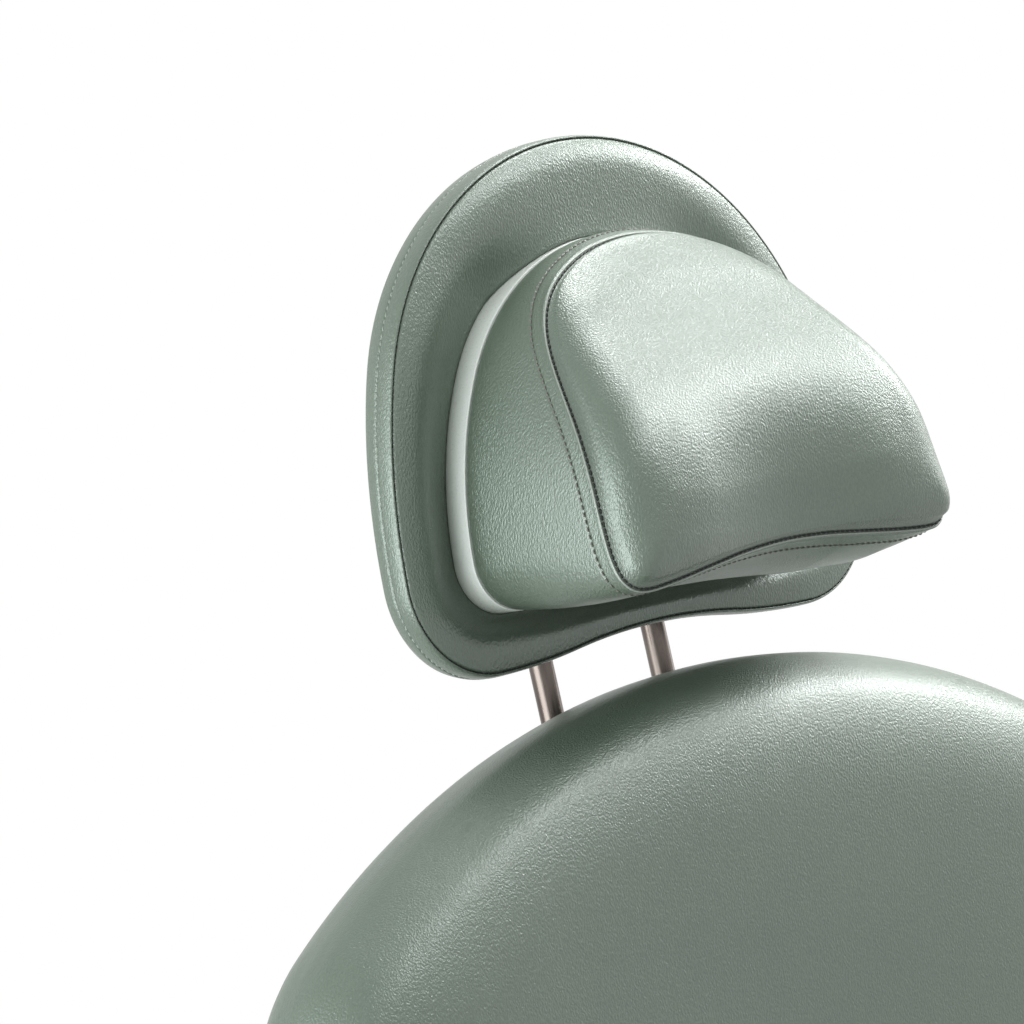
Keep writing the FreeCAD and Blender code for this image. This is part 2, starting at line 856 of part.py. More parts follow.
hub_inner = boss_outer + arm_hub_gap
hub_outer = hub_inner + arm_hub_width
arm_middle = (hub_inner + hub_outer) / 2
arm_pad_bottom = arm_pivot_z + arm_bar_thick / 2 + arm_bar_thick
back_lug_outer = rail_half_gap + 2 * lug_thick + lug_gap + lug_thick
leg_lug_inner = rail_half_gap - lug_gap - lug_thick


def frame_hinge_pins():
    """Pins of the back, the legrest and the arms, all held by the seat frame."""
    right = [rod_x(hinge_pin_radius, rail_half_gap - pin_proud, back_lug_outer,
                   back_hinge_y, back_hinge_z),
             rod_x(hinge_pin_radius, leg_lug_inner - pin_proud, rail_half_gap + lug_thick + pin_proud,
                   leg_hinge_y, leg_hinge_z),
             rod_x(hinge_pin_radius, boss_inner, hub_outer + pin_proud, arm_pivot_y, arm_pivot_z)]
    return Part.makeCompound(right + [mirrored(pin) for pin in right])


def arm_frame():
    """Right-hand arm: a hub on the pivot pin and a flat bar under the pad."""
    low = arm_pad_bottom - arm_bar_thick
    hub = rod_x(arm_boss_radius, hub_inner, hub_outer, arm_pivot_y, arm_pivot_z)
    bar = box(arm_middle - arm_bar_width / 2, arm_middle + arm_bar_width / 2,
              arm_bar_front, arm_pivot_y, low, arm_pad_bottom)
    nose = upright_edges(bar, [(arm_middle - arm_bar_width / 2, arm_bar_front),
                               (arm_middle + arm_bar_width / 2, arm_bar_front)])
    arm = joined([bar.makeFillet(arm_bar_thick, nose), hub])
    return arm.cut(rod_x(hinge_pin_radius + running_fit, hub_inner - 1, hub_outer + 1,
                         arm_pivot_y, arm_pivot_z))


def arm_pad():
    middle_y = (arm_pad_front + arm_pad_rear) / 2
    blank = prism(rounded_rectangle(arm_pad_half_x, (arm_pad_rear - arm_pad_front) / 2, arm_pad_corner,
                                    middle_y, arm_pad_bottom), 2 * arm_pad_thick)
    pad = crowned_pad(blank, arm_pad_bottom, arm_pad_bottom + arm_pad_thick, middle_y,
                      (arm_pad_rear - arm_pad_front) / 2, arm_pad_crown, arm_pad_roll, arm_pad_roll / 2)
    pad.translate(Vec(arm_middle, 0, 0))
    return pad


# Actuators and levers

back_drop = back_hinge_z - actuator_z
leg_drop = leg_hinge_z - actuator_z
back_half_swing = (back_flat - back_upright) / 2
leg_half_swing = leg_raise / 2
back_rest_swing = back_half_swing + back_upright
leg_rest_swing = leg_half_swing
back_pin_y = back_hinge_y + back_drop * back_slope * math.radians(back_rest_swing)
leg_pin_y = leg_hinge_y + leg_drop * leg_slope * math.radians(leg_rest_swing)
back_slot_half = actuator_pin_radius + back_slot_error + slot_play
leg_slot_half = actuator_pin_radius + leg_slot_error + slot_play


def actuator_body(x, tube_from, tube_to, gear_to):
    """Tube, gearbox and motor in line; the rod leaves at tube_from."""
    sign = 1 if gear_to > tube_to else -1
    motor_end = gear_to + sign * actuator_motor_length
    spans = ((actuator_tube_radius, tube_from, tube_to), (actuator_gear_radius, tube_to, gear_to),
             (actuator_motor_radius, gear_to, motor_end))
    body = joined([rod_y(radius, min(a, b), max(a, b), x, actuator_z) for radius, a, b in spans])
    bore_end = tube_to - sign * actuator_gear_length / 2
    bore = rod_y(actuator_rod_radius + actuator_bore_gap, min(tube_from, bore_end),
                 max(tube_from, bore_end), x, actuator_z)
    return body.cut(bore)


def back_actuator_body():
    return actuator_body(-actuator_x, back_tube_rear, back_tube_front,
                         back_tube_front - actuator_gear_length)


def leg_actuator_body():
    return actuator_body(actuator_x, leg_tube_front, leg_tube_rear,
                         leg_tube_rear + actuator_gear_length)


def actuator_rod(x, pin_y, inner_end):
    """Rod with an eye and the cross pin that runs in the lever's slots."""
    shaft = rod_y(actuator_rod_radius, min(pin_y, inner_end), max(pin_y, inner_end), x, actuator_z)
    eye = rod_x(actuator_eye_radius, x - actuator_eye_half, x + actuator_eye_half, pin_y, actuator_z)
    pin = rod_x(actuator_pin_radius, x - actuator_pin_half, x + actuator_pin_half, pin_y, actuator_z)
    return joined([shaft, eye, pin])


def actuator_brackets():
    """Clamp blocks that hang the actuator tubes under the two middle crossbars."""
    blocks = []
    for x in (-actuator_x, actuator_x):
        for y in crossbar_ys[1:]:
            block = box(x - clamp_half_x, x + clamp_half_x, y - clamp_length / 2, y + clamp_length / 2,
                        actuator_z - actuator_tube_radius - clamp_drop, crossbar_bottom)
            blocks.append(block.cut(rod_y(actuator_tube_radius, y - clamp_length, y + clamp_length,
                                          x, actuator_z)))
    return Part.makeCompound(blocks)


def lever_pair(x, arm_points, start, end, slot_half):
    """Two slotted plates either side of the rod's eye, drawn in a local (y, z) frame."""
    plates = []
    for side in (-1, 1):
        near = x + side * lever_plate_gap
        far = near + side * lever_plate_thick
        x0, x1 = min(near, far), max(near, far)
        arm = plate_x(arm_points, x0, x1)
        rim = capsule_x(start, end, slot_half + lever_rim, x0, x1)
        slot = capsule_x(start, end, slot_half, x0 - 1, x1 + 1)
        plates.append(joined([arm, rim]).cut(slot))
    return plates


def slot_ends(drop, half_swing, direction):
    """Slot ends along a unit direction from the hinge, in a local (y, z) frame."""
    near = drop - slot_end_play
    far = drop / math.cos(math.radians(half_swing)) + slot_end_play
    return [(direction[0] * reach, direction[1] * reach) for reach in (near, far)]


# Backrest, drawn with local Y up the back and local Z out of its front

def back_outline(inset, z):
    """Arched top, round shoulders, sides drawn in to the waist and a straight bottom."""
    centre_y = back_length - back_top_arc
    lean = math.degrees(math.asin((back_half_width - back_shoulder) / (back_top_arc - back_shoulder)))
    shoulder_x = back_half_width - back_shoulder
    shoulder_y = centre_y + (back_top_arc - back_shoulder) * math.cos(math.radians(lean))
    drop = shoulder_y - back_pad_start
    draw = back_half_width - back_half_bottom
    side_arc = (draw ** 2 + drop ** 2) / (2 * draw)
    side_x = back_half_width - side_arc
    bottom = back_pad_start + inset
    side_end = -math.degrees(math.asin((shoulder_y - bottom) / (side_arc - inset)))
    corner = on_circle(side_x, shoulder_y, side_arc - inset, side_end, z)
    right = [circle_arc(side_x, shoulder_y, side_arc - inset, side_end, 0, z),
             circle_arc(shoulder_x, shoulder_y, back_shoulder - inset, 0, 90 - lean, z)]
    top = circle_arc(0, centre_y, back_top_arc - inset, 90 - lean, 90 + lean, z)
    left = [mirrored(edge) for edge in right]
    base = line(Vec(-corner.x, bottom, z), Vec(corner.x, bottom, z))
    return Part.Wire(Part.__sortEdges__([base, top] + right + left)), corner.x


def back_blank(inset, z, height):
    wire, corner_x = back_outline(inset, z)
    blank = prism(wire, height)
    bottom = back_pad_start + inset
    return blank.makeFillet(back_bottom_corner - inset,
                            upright_edges(blank, [(corner_x, bottom), (-corner_x, bottom)]))


def back_cushion():
    middle = (back_pad_start + back_length) / 2
    blank = back_blank(0, back_pad_rear, 2 * (back_pad_front - back_pad_rear))
    pad = crowned_pad(blank, back_pad_rear, back_pad_front, middle, back_half_width, back_crown,
                      back_front_roll, back_rear_roll)
    return placed(pad, back_frame)


def back_board():
    return placed(back_blank(back_board_inset, back_frame_front, back_board_thick), back_frame)


upright_inner = rail_half_gap + lug_thick + lug_gap


def back_upright():
    """Right-hand upright with the lug that hangs on the back hinge pin."""
    x0, x1 = upright_inner, upright_inner + lug_thick
    tube = box(x0, x0 + upright_width, upright_start, upright_end, back_frame_rear, back_frame_front)
    reach = back_lug_radius * 0.95
    lug = plate_x([(-reach, -back_lug_radius * 0.3), (upright_start, back_frame_rear),
                   (upright_start + 2 * upright_width, back_frame_rear),
                   (upright_start + 2 * upright_width, back_frame_front),
                   (back_pad_start - lug_clear, back_frame_front), (reach, 0)], x0, x1)
    upright = joined([tube, lug, rod_x(back_lug_radius, x0, x1, 0, 0)])
    return upright.cut(rod_x(hinge_pin_radius + running_fit, x0 - 1, x1 + 1, 0, 0))


def back_uprights():
    right = back_upright()
    return placed(Part.makeCompound([right, mirrored(right)]), back_frame)


def back_crossbars():
    """Lower bar with the slotted lever, and the upper bar under the post guide."""
    half = upright_inner
    front, rear = back_frame_front, back_frame_rear
    low = back_bar_start
    high = low + back_bar_width
    swing = math.radians(back_rest_swing)
    lean = math.radians(back_lean)
    direction = (math.sin(swing) * math.sin(lean) - math.cos(swing) * math.cos(lean),
                 -math.sin(swing) * math.cos(lean) - math.cos(swing) * math.sin(lean))
    start, end = slot_ends(back_drop, back_half_swing, direction)
    rim = back_slot_half + lever_rim
    arm_points = [(high, rear), (high, front - lug_clear), (low - lug_strip, front - lug_clear),
                  (start[0] + rim * 0.6, start[1] + rim * 0.8), start, end,
                  (end[0] + rim * 0.6, end[1] - rim * 0.6), (low, rear)]
    lower = joined([box(-half, half, low, high, rear, front)]
                   + lever_pair(-actuator_x, arm_points, start, end, back_slot_half))
    upper = box(-half, half, upright_end - back_bar_width, upright_end, rear, front)
    return placed(Part.makeCompound([lower, upper]), back_frame)


def shell_form(inset):
    depth = back_pad_rear - shell_rear - inset
    form = back_blank(shell_inset + inset, shell_rear + inset, depth)
    return form.makeFillet(shell_roll - inset, level_edges(form, shell_rear + inset))


def back_shell():
    shell = shell_form(0).cut(shell_form(shell_wall))
    wide = 2 * back_half_width
    shell = shell.cut(box(-wide, wide, 0, shell_open, 2 * shell_rear, 0))
    for sx in (-1, 1):
        shell = shell.cut(rod_y(sleeve_outer + sleeve_flange + sleeve_hole_gap, guide_top, back_length,
                                sx * post_half_gap, post_n))
    shell = shell.cut(rod_z(lock_shaft_radius + sleeve_hole_gap, 2 * shell_rear, back_frame_rear, 0, lock_w))
    return placed(shell, back_frame)


sleeve_bore = post_radius + running_fit
sleeve_outer = sleeve_bore + sleeve_wall
sleeve_top = back_length - shell_inset + sleeve_hole_gap
guide_rear = back_frame_front - guide_depth


def post_guide_block():
    block = box(-guide_half_width, guide_half_width, upright_end, guide_top, guide_rear, back_frame_front)
    for sx in (-1, 1):
        block = block.cut(rod_y(sleeve_outer, upright_end, guide_top, sx * post_half_gap, post_n))
    block = block.cut(rod_z(lock_shaft_radius + running_fit, guide_rear - 1, guide_rear + lock_shaft_grip,
                            0, lock_w))
    return placed(block, back_frame)


def post_guide_sleeves():
    sleeves = []
    for sx in (-1, 1):
        x = sx * post_half_gap
        sleeve = joined([rod_y(sleeve_outer, sleeve_bottom, sleeve_top, x, post_n),
                         rod_y(sleeve_outer + sleeve_flange, sleeve_top,
                               sleeve_top + sleeve_flange_thick, x, post_n)])
        sleeves.append(sleeve.cut(rod_y(sleeve_bore, sleeve_bottom, back_length, x, post_n)))
    return placed(Part.makeCompound(sleeves), back_frame)


def headrest_lock_knob():
    inner = shell_rear - lock_knob_gap
    knob = lobed_knob(lock_knob_radius, lock_knob_depth, lock_shaft_radius,
                      guide_rear + lock_shaft_grip - inner)
    knob.rotate(Vec(0, 0, 0), ALONG_X, 180)
    knob.translate(Vec(0, lock_w, inner))
    return placed(knob, back_frame)


# Headrest posts, drawn in the back's frame

def headrest_posts():
    posts = [rod_y(post_radius, post_bottom, pivot_w - post_head_half_w, sx * post_half_gap, post_n)
             for sx in (-1, 1)]
    return placed(Part.makeCompound(posts), back_frame)


def headrest_post_heads():
    head = box(post_head_inner, post_head_outer, pivot_w - post_head_half_w, pivot_w + post_head_half_w,
               post_n - post_head_half_n, post_n + post_head_half_n)
    head = head.makeFillet(post_head_edge, [edge for edge in head.Edges if edge.BoundBox.XLength > 1])
    head = head.cut(rod_x(pivot_pin_radius, post_head_inner - 1, post_head_outer + 1, pivot_w, post_n))
    return placed(Part.makeCompound([head, mirrored(head)]), back_frame)


def headrest_hinge_pin():
    return placed(rod_x(pivot_pin_radius, -post_head_outer, post_head_outer, pivot_w, post_n), back_frame)


def headrest_tilt_knob():
    knob = lobed_knob(tilt_knob_radius, tilt_knob_width, pivot_pin_radius, 0)
    knob.rotate(Vec(0, 0, 0), ALONG_Y, 90)
    knob.translate(Vec(post_head_outer + slide_gap, pivot_w, post_n))
    return placed(knob, back_frame)


# Headrest, drawn with local Y up the panel and local Z out of its front

class ArchOutline:
    """Arch-shaped outline: round top, bowed sides, round bottom corners."""

    def __init__(self, half_width, side_arc, top, bottom, corner, rise):
        self.half_width, self.side_arc, self.top = half_width, side_arc, top
        self.bottom, self.corner, self.rise = bottom, corner, rise
        self.corner_x = half_width - corner
        self.corner_y = bottom + corner
        self.side_x = half_width - side_arc
        height = top - self.corner_y
        self.top_arc = (side_arc ** 2 - self.side_x ** 2 - height ** 2) / (2 * (side_arc - height))
        self.top_y = top - self.top_arc
        self.join = math.degrees(math.atan2(self.top_y - self.corner_y, -self.side_x))

    def half_at(self, y):
        """Half-width of the outline at a height above its bottom corners' centres."""
        join_y = self.corner_y + self.side_arc * math.sin(math.radians(self.join))
        if y < self.corner_y:
            return self.corner_x + math.sqrt(self.corner ** 2 - (self.corner_y - y) ** 2)
        if y < join_y:
            return self.side_x + math.sqrt(self.side_arc ** 2 - (y - self.corner_y) ** 2)
        return math.sqrt(max(self.top_arc ** 2 - (y - self.top_y) ** 2, 0))

    def wire(self, inset, z):
        right = [circle_arc(self.corner_x, self.corner_y, self.corner - inset, -90, 0, z),
                 circle_arc(self.side_x, self.corner_y, self.side_arc - inset, 0, self.join, z)]
        top = circle_arc(0, self.top_y, self.top_arc - inset, self.join, 180 - self.join, z)
        if self.rise:
            sweep = (self.corner_x ** 2 + self.rise ** 2) / (4 * self.rise)
            turn = math.degrees(math.asin(self.corner_x / 2 / sweep))
            right.append(circle_arc(self.corner_x, self.bottom + sweep, sweep - inset, -90, -90 - turn, z))
            base = circle_arc(0, self.bottom + self.rise - sweep, sweep + inset, 90 - turn, 90 + turn, z)
        else:
            low = self.bottom + inset
            base = line(Vec(self.corner_x, low, z), Vec(-self.corner_x, low, z))
        left = [mirrored(edge) for edge in right]
        return Part.Wire(Part.__sortEdges__([base, top] + right + left))


panel = ArchOutline(panel_half_width, panel_side_arc, panel_top, panel_bottom, panel_corner, panel_rise)
trim = ArchOutline(trim_half_width, trim_side_arc, trim_top, trim_bottom, trim_corner, 0)


def headrest_panel_pad():
    """Arched pad with a raised rim, a dished front and a pocket for the trim plate."""
    pad = prism(panel.wire(0, -panel_boxing), panel_boxing)
    dish = Part.makeLoft([panel.wire(panel_rim, 0), panel.wire(panel_slope, -panel_dish)], True, True)
    pad = pad.cut(dish)
    pad = pad.makeFillet(panel_rear_edge, level_edges(pad, -panel_boxing))
    outer = [edge for edge in level_edges(pad, 0) if edge.BoundBox.DiagonalLength > 1]
    pad = pad.makeFillet(panel_front_edge, outer)
    pocket = prism(trim.wire(0, trim_rear), trim_front - trim_rear)
    return placed(pad.cut(pocket), head_frame)


def headrest_board():
    board = prism(panel.wire(head_board_inset, head_board_rear), head_board_thick)
    board = board.makeFillet(head_board_thick / 2, level_edges(board, head_board_rear))
    for sx in (-1, 1):
        for sy in (-1, 1):
            board = board.cut(rod_z(screw_shank_radius, head_board_rear - 1, -panel_boxing,
                                    sx * screw_half_x, pivot_v + sy * screw_half_v))
    return placed(board, head_frame)


def headrest_hinge_bracket():
    rear = head_board_rear - bracket_thick
    bracket = box(-bracket_half_x, bracket_half_x, pivot_v - bracket_half_v, pivot_v + bracket_half_v,
                  rear, head_board_rear)
    ears = []
    for inner, outer in ((ear_inner, ear_outer), (-ear_outer, -ear_inner)):
        ears.append(box(inner, outer, pivot_v - ear_radius, pivot_v + ear_radius, pivot_n, rear))
        ears.append(rod_x(ear_radius, inner, outer, pivot_v, pivot_n))
    bracket = joined([bracket] + ears)
    bracket = bracket.cut(rod_x(pivot_pin_radius + running_fit, -bracket_half_x, bracket_half_x,
                                pivot_v, pivot_n))
    for sx in (-1, 1):
        for sy in (-1, 1):
            bracket = bracket.cut(rod_z(screw_shank_radius, rear - 1, head_board_rear + 1,
                                        sx * screw_half_x, pivot_v + sy * screw_half_v))
    return placed(bracket, head_frame)


def headrest_screws():
    rear = head_board_rear - bracket_thick
    screws = []
    for sx in (-1, 1):
        for sy in (-1, 1):
            x, y = sx * screw_half_x, pivot_v + sy * screw_half_v
            head = rod_z(screw_head_radius, rear - screw_head_height, rear, x, y)
            head = head.makeFillet(screw_head_height / 3, level_edges(head, rear - screw_head_height))
            screws.append(joined([head, rod_z(screw_shank_radius, rear, -panel_boxing, x, y)]))
    return placed(Part.makeCompound(screws), head_frame)


def headrest_trim_plate():
    plate = prism(trim.wire(0, trim_rear), trim_front - trim_rear)
    plate = plate.makeFillet(trim_edge, level_edges(plate, trim_front))
    return placed(plate, head_frame)


def seam_half(v):
    """Half-width of the cushion's face seam at a height up the panel."""
    if v <= seam_waist_v:
        return seam_waist + seam_flare * (seam_waist_v - v)
    rise = min((v - seam_waist_v) / seam_arch, 1)
    return seam_waist * (1 - rise ** seam_arch_power) ** (1 / seam_arch_power)


def face_depth(v):
    """How far the face seam stands out of the panel: a wedge that bows forward below its middle."""
    share = min((v - cushion_bottom) / (wedge_bow_top - cushion_bottom), 1)
    return wedge_foot - wedge_slope * v + wedge_bow * math.sin(math.pi * share) ** 2


def cushion_section(v):
    """Level section: flat rear, straight sides and a front with two lobes and a valley."""
    rear = min(trim.half_at(v) - trim_edge - cushion_inset, trim_half_width)
    seam = seam_half(v)
    depth = face_depth(v)
    share = (v - cushion_bottom) / (trim_top - cushion_bottom)
    swell = max(math.sin(math.pi * share), 0.05) ** lobe_power
    lobe, valley = depth + lobe_height * swell, depth + valley_height * swell
    between = (lobe + valley) / 2
    spots = [Vec(side * seam * place, v, level) for side, place, level in
             ((1, 1, depth), (1, lobe_place, lobe), (1, valley_place, between), (1, 0, valley),
              (-1, valley_place, between), (-1, lobe_place, lobe), (-1, 1, depth))]
    a, b = Vec(-rear, v, trim_front), Vec(rear, v, trim_front)
    return Part.Wire([line(a, b), line(b, spots[0]), arc(*spots[0:3]), arc(*spots[2:5]),
                      arc(*spots[4:7]), line(spots[6], a)])


def head_cushion():
    top = trim_top - cushion_top_gap
    levels = []
    for step in range(cushion_levels):
        share = math.sin(math.pi / 2 * step / (cushion_levels - 1))
        levels.append(cushion_bottom + (top - cushion_bottom) * share)
    return placed(Part.makeLoft([cushion_section(v) for v in levels], True, False), head_frame)


# Legrest, drawn with local -Y down the leg and local Z out of its front

def leg_blank(inset, z, height):
    top, bottom = -leg_pad_start - inset, -leg_pad_end + inset
    half_top, half_bottom = leg_half_top - inset, leg_half_bottom - inset
    waist = (half_top + half_bottom) / 2 - leg_draw_in
    middle = (top + bottom) / 2
    a, b = Vec(half_bottom, bottom, z), Vec(half_top, top, z)
    c, d = Vec(-half_top, top, z), Vec(-half_bottom, bottom, z)
    wire = Part.Wire([line(d, a), arc(a, Vec(waist, middle, z), b), line(b, c),
                      arc(c, Vec(-waist, middle, z), d)])
    blank = prism(wire, height)
    blank = blank.makeFillet(leg_bottom_corner - inset,
                             upright_edges(blank, [(half_bottom, bottom), (-half_bottom, bottom)]))
    return blank.makeFillet(leg_top_corner - inset,
                            upright_edges(blank, [(half_top, top), (-half_top, top)]))


def leg_cushion():
    blank = leg_blank(0, leg_pad_rear, 2 * leg_pad_thick)
    pad = crowned_pad(blank, leg_pad_rear, leg_pad_front, -(leg_pad_start + leg_pad_end) / 2,
                      leg_half_top, leg_crown, leg_front_roll, leg_rear_roll)
    return placed(pad, leg_frame)


def leg_board():
    board = leg_blank(leg_board_inset, leg_frame_front, leg_board_thick)
    wide = 2 * leg_half_top
    board = board.cut(box(-wide, wide, -leg_board_start, wide, leg_frame_rear, leg_pad_front))
    return placed(board, leg_frame)


leg_rail_outer = rail_half_gap - lug_gap
leg_rail_inner = leg_rail_outer - leg_rail_width


def leg_rail():
    """Right-hand legrest rail with the lug that hangs on the legrest hinge pin."""
    x0, x1 = leg_lug_inner, leg_rail_outer
    tube = box(leg_rail_inner, leg_rail_outer, -leg_rail_end, -leg_rail_start,
               leg_frame_rear, leg_frame_front)
    reach = leg_lug_radius * 0.95
    lug = plate_x([(reach * 0.3, -reach), (-leg_pad_start - lug_strip, leg_frame_rear),
                   (-leg_rail_start - leg_bar_width, leg_frame_rear),
                   (-leg_rail_start - leg_bar_width, leg_frame_front),
                   (-leg_board_start + lug_clear, leg_frame_front),
                   (-leg_pad_start, leg_pad_rear - lug_clear), (-reach, reach * 0.3)], x0, x1)
    rail = joined([tube, lug, rod_x(leg_lug_radius, x0, x1, 0, 0)])
    return rail.cut(rod_x(hinge_pin_radius + running_fit, x0 - 1, x1 + 1, 0, 0))


def leg_rails():
    right = leg_rail()
    return placed(Part.makeCompound([right, mirrored(right)]), leg_frame)


foot_rod_z = (leg_frame_front + leg_frame_rear) / 2


def leg_crossbars():
    """Upper bar with the slotted lever, and two bars that guide the foot rods."""
    half = leg_rail_inner
    front, rear = leg_frame_front, leg_frame_rear
    near = -leg_rail_start
    far = near - leg_bar_width
    swing = math.radians(leg_rest_swing)
    lean = math.radians(leg_angle)
    direction = (math.sin(swing) * math.cos(lean) - math.cos(swing) * math.sin(lean),
                 -math.sin(swing) * math.sin(lean) - math.cos(swing) * math.cos(lean))
    start, end = slot_ends(leg_drop, leg_half_swing, direction)
    rim = leg_slot_half + lever_rim
    arm_points = [(far, front - lug_clear), (far, rear), (end[0] - rim * 0.8, end[1]), end, start,
                  (start[0] + rim * 0.8, start[1]), (near + lug_strip, rear), (near, front - lug_clear)]
    bars = [joined([box(-half, half, far, near, rear, front)]
                   + lever_pair(actuator_x, arm_points, start, end, leg_slot_half))]
    for place in (leg_bar_second, leg_bar_third):
        bar = box(-half, half, -place - leg_bar_width, -place, rear, front)
        for sx in (-1, 1):
            bar = bar.cut(rod_y(foot_rod_radius + running_fit, -place - leg_bar_width, -place,
                                sx * foot_rod_x, foot_rod_z))
        bars.append(bar)
    return placed(Part.makeCompound(bars), leg_frame)


def leg_shell_form(inset):
    bottom = leg_pad_rear - leg_shell_depth + inset
    form = leg_blank(leg_shell_inset + inset, bottom, leg_shell_depth - inset)
    return form.makeFillet(leg_shell_roll - inset, level_edges(form, bottom))


def leg_shell():
    shell = leg_shell_form(0).cut(leg_shell_form(leg_shell_wall))
    wide = 2 * leg_half_top
    low, high = leg_pad_rear - leg_shell_depth - 1, leg_pad_rear + 1
    shell = shell.cut(box(-wide, wide, -leg_shell_start, wide, low, high))
    mouth = box(-foot_bar_half, foot_bar_half, -leg_pad_end, -leg_pad_end + leg_shell_mouth,
                leg_frame_rear - leg_shell_wall, leg_frame_front + leg_shell_wall)
    return placed(shell.cut(mouth), leg_frame)


# Foot extension, drawn in the legrest's frame

def foot_extension_frame():
    bar_end = foot_bar_start + foot_bar_width
    bar = box(-foot_bar_half, foot_bar_half, -bar_end, -foot_bar_start, leg_frame_rear, leg_frame_front)
    rods = [rod_y(foot_rod_radius, -foot_bar_start, -foot_rod_start, sx * foot_rod_x, foot_rod_z)
            for sx in (-1, 1)]
    return placed(joined([bar] + rods), leg_frame)


def foot_extension_pad():
    near = leg_pad_end + foot_pad_gap
    middle = -near - foot_pad_length / 2
    blank = prism(rounded_rectangle(foot_pad_half, foot_pad_length / 2, foot_pad_corner, middle,
                                    leg_frame_front), 2 * (leg_pad_front - leg_frame_front))
    pad = crowned_pad(blank, leg_frame_front, leg_pad_front - leg_crown, middle, foot_pad_half,
                      foot_pad_crown, foot_pad_roll, foot_pad_roll / 2)
    return placed(pad, leg_frame)


def all_pieces():
    """Every piece of the chair by its name."""
    arm_right, pad_right = arm_frame(), arm_pad()
    pieces = {
        "base_plate": base_plate(),
        "base_cover": base_cover(),
        "lift_column_outer": column_stage(0, plate_top, outer_top),
        "lift_motor": lift_motor(),
        "lift_screw": lift_screw(),
        "control_box": control_box(),
        "mains_inlet": mains_inlet(),
        "foot_control_housing": foot_control_housing(),
        "lift_column_middle": column_stage(1, middle_bottom, middle_top),
        "lift_screw_middle": lift_screw_middle(),
        "lift_column_inner": column_stage(2, inner_bottom, inner_top),
        "lift_nut_tube": lift_nut_tube(),
        "lift_head": lift_head(),
        "lift_risers": lift_risers(),
        "seat_rails": seat_rails(),
        "seat_crossbars": seat_crossbars(),
        "seat_board": seat_board(),
        "seat_cushion": seat_cushion(),
        "seat_side_covers": seat_side_covers(),
        "accessory_rails": accessory_rails(),
        "arm_posts": arm_posts(),
        "frame_hinge_pins": frame_hinge_pins(),
        "actuator_brackets": actuator_brackets(),
        "back_actuator_body": back_actuator_body(),
        "leg_actuator_body": leg_actuator_body(),
        "back_actuator_rod": actuator_rod(-actuator_x, back_pin_y, back_pin_y - back_rod_length),
        "leg_actuator_rod": actuator_rod(actuator_x, leg_pin_y, leg_pin_y + leg_rod_length),
        "back_uprights": back_uprights(),
        "back_crossbars": back_crossbars(),
        "back_board": back_board(),
        "back_cushion": back_cushion(),
        "back_shell": back_shell(),
        "post_guide_block": post_guide_block(),
        "post_guide_sleeves": post_guide_sleeves(),
        "headrest_lock_knob": headrest_lock_knob(),
        "headrest_posts": headrest_posts(),
        "headrest_post_heads": headrest_post_heads(),
        "headrest_hinge_pin": headrest_hinge_pin(),
        "headrest_tilt_knob": headrest_tilt_knob(),
        "headrest_panel_pad": headrest_panel_pad(),
        "headrest_board": headrest_board(),
        "headrest_hinge_bracket": headrest_hinge_bracket(),
        "headrest_screws": headrest_screws(),
        "headrest_trim_plate": headrest_trim_plate(),
        "head_cushion": head_cushion(),
        "leg_rails": leg_rails(),
        "leg_crossbars": leg_crossbars(),
        "leg_board": leg_board(),
        "leg_cushion": leg_cushion(),
        "leg_shell": leg_shell(),
        "foot_extension_frame": foot_extension_frame(),
        "foot_extension_pad": foot_extension_pad(),
        "arm_frame_right": arm_right,
        "arm_pad_right": pad_right,
        "arm_frame_left": mirrored(arm_right),
        "arm_pad_left": mirrored(pad_right),
    }
    for index, name in enumerate(button_names):
        pieces[name] = foot_button(index)
    return pieces


os.makedirs("parts", exist_ok=True)
for name, shape in all_pieces().items():
    shape.exportStep(os.path.join("parts", name + ".step"))
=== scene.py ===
import bpy
import bmesh
import json
import math
import numpy as np
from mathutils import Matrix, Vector


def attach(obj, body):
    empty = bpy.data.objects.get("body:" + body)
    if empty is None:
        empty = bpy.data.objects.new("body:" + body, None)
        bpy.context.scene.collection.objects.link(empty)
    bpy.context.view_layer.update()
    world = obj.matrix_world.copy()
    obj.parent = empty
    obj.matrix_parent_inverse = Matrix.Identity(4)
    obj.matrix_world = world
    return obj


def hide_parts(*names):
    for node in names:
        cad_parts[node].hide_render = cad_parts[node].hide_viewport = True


# Looks of the power procedure chair. Local sizes are in millimetres and go to metres when a mesh is made.

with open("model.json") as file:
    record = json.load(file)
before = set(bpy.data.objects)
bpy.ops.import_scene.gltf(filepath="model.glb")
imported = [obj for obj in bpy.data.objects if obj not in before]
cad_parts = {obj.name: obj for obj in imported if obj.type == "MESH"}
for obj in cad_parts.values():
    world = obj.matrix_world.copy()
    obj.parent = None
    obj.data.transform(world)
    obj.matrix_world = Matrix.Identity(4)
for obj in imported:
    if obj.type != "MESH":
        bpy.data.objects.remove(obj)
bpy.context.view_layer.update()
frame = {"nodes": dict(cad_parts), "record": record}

# Local frames of the chair, with the same places as in the solids
BACK_ORIGIN = (0.0, 162.0, 505.0)
BACK_LEAN = 18.5
LEG_ORIGIN = (0.0, -366.0, 500.0)
LEG_ANGLE = 80.0
HEAD_LEAN = 15.5
PIVOT_IN_BACK = (0.0, 923.0, -57.5)
PIVOT_IN_HEAD = (0.0, 120.0, -61.0)

# Camera: the photograph's viewing angle, its distance from the headrest and its focal length
CAMERA_TURN = 45.0
CAMERA_RISE = 14.0
CAMERA_DISTANCE = 2.667
FOCAL_PIXELS = 4800.0
IMAGE_PIXELS = 1024.0
HEADREST_PIXEL = (661.4, 621.9)
SENSOR = 36.0

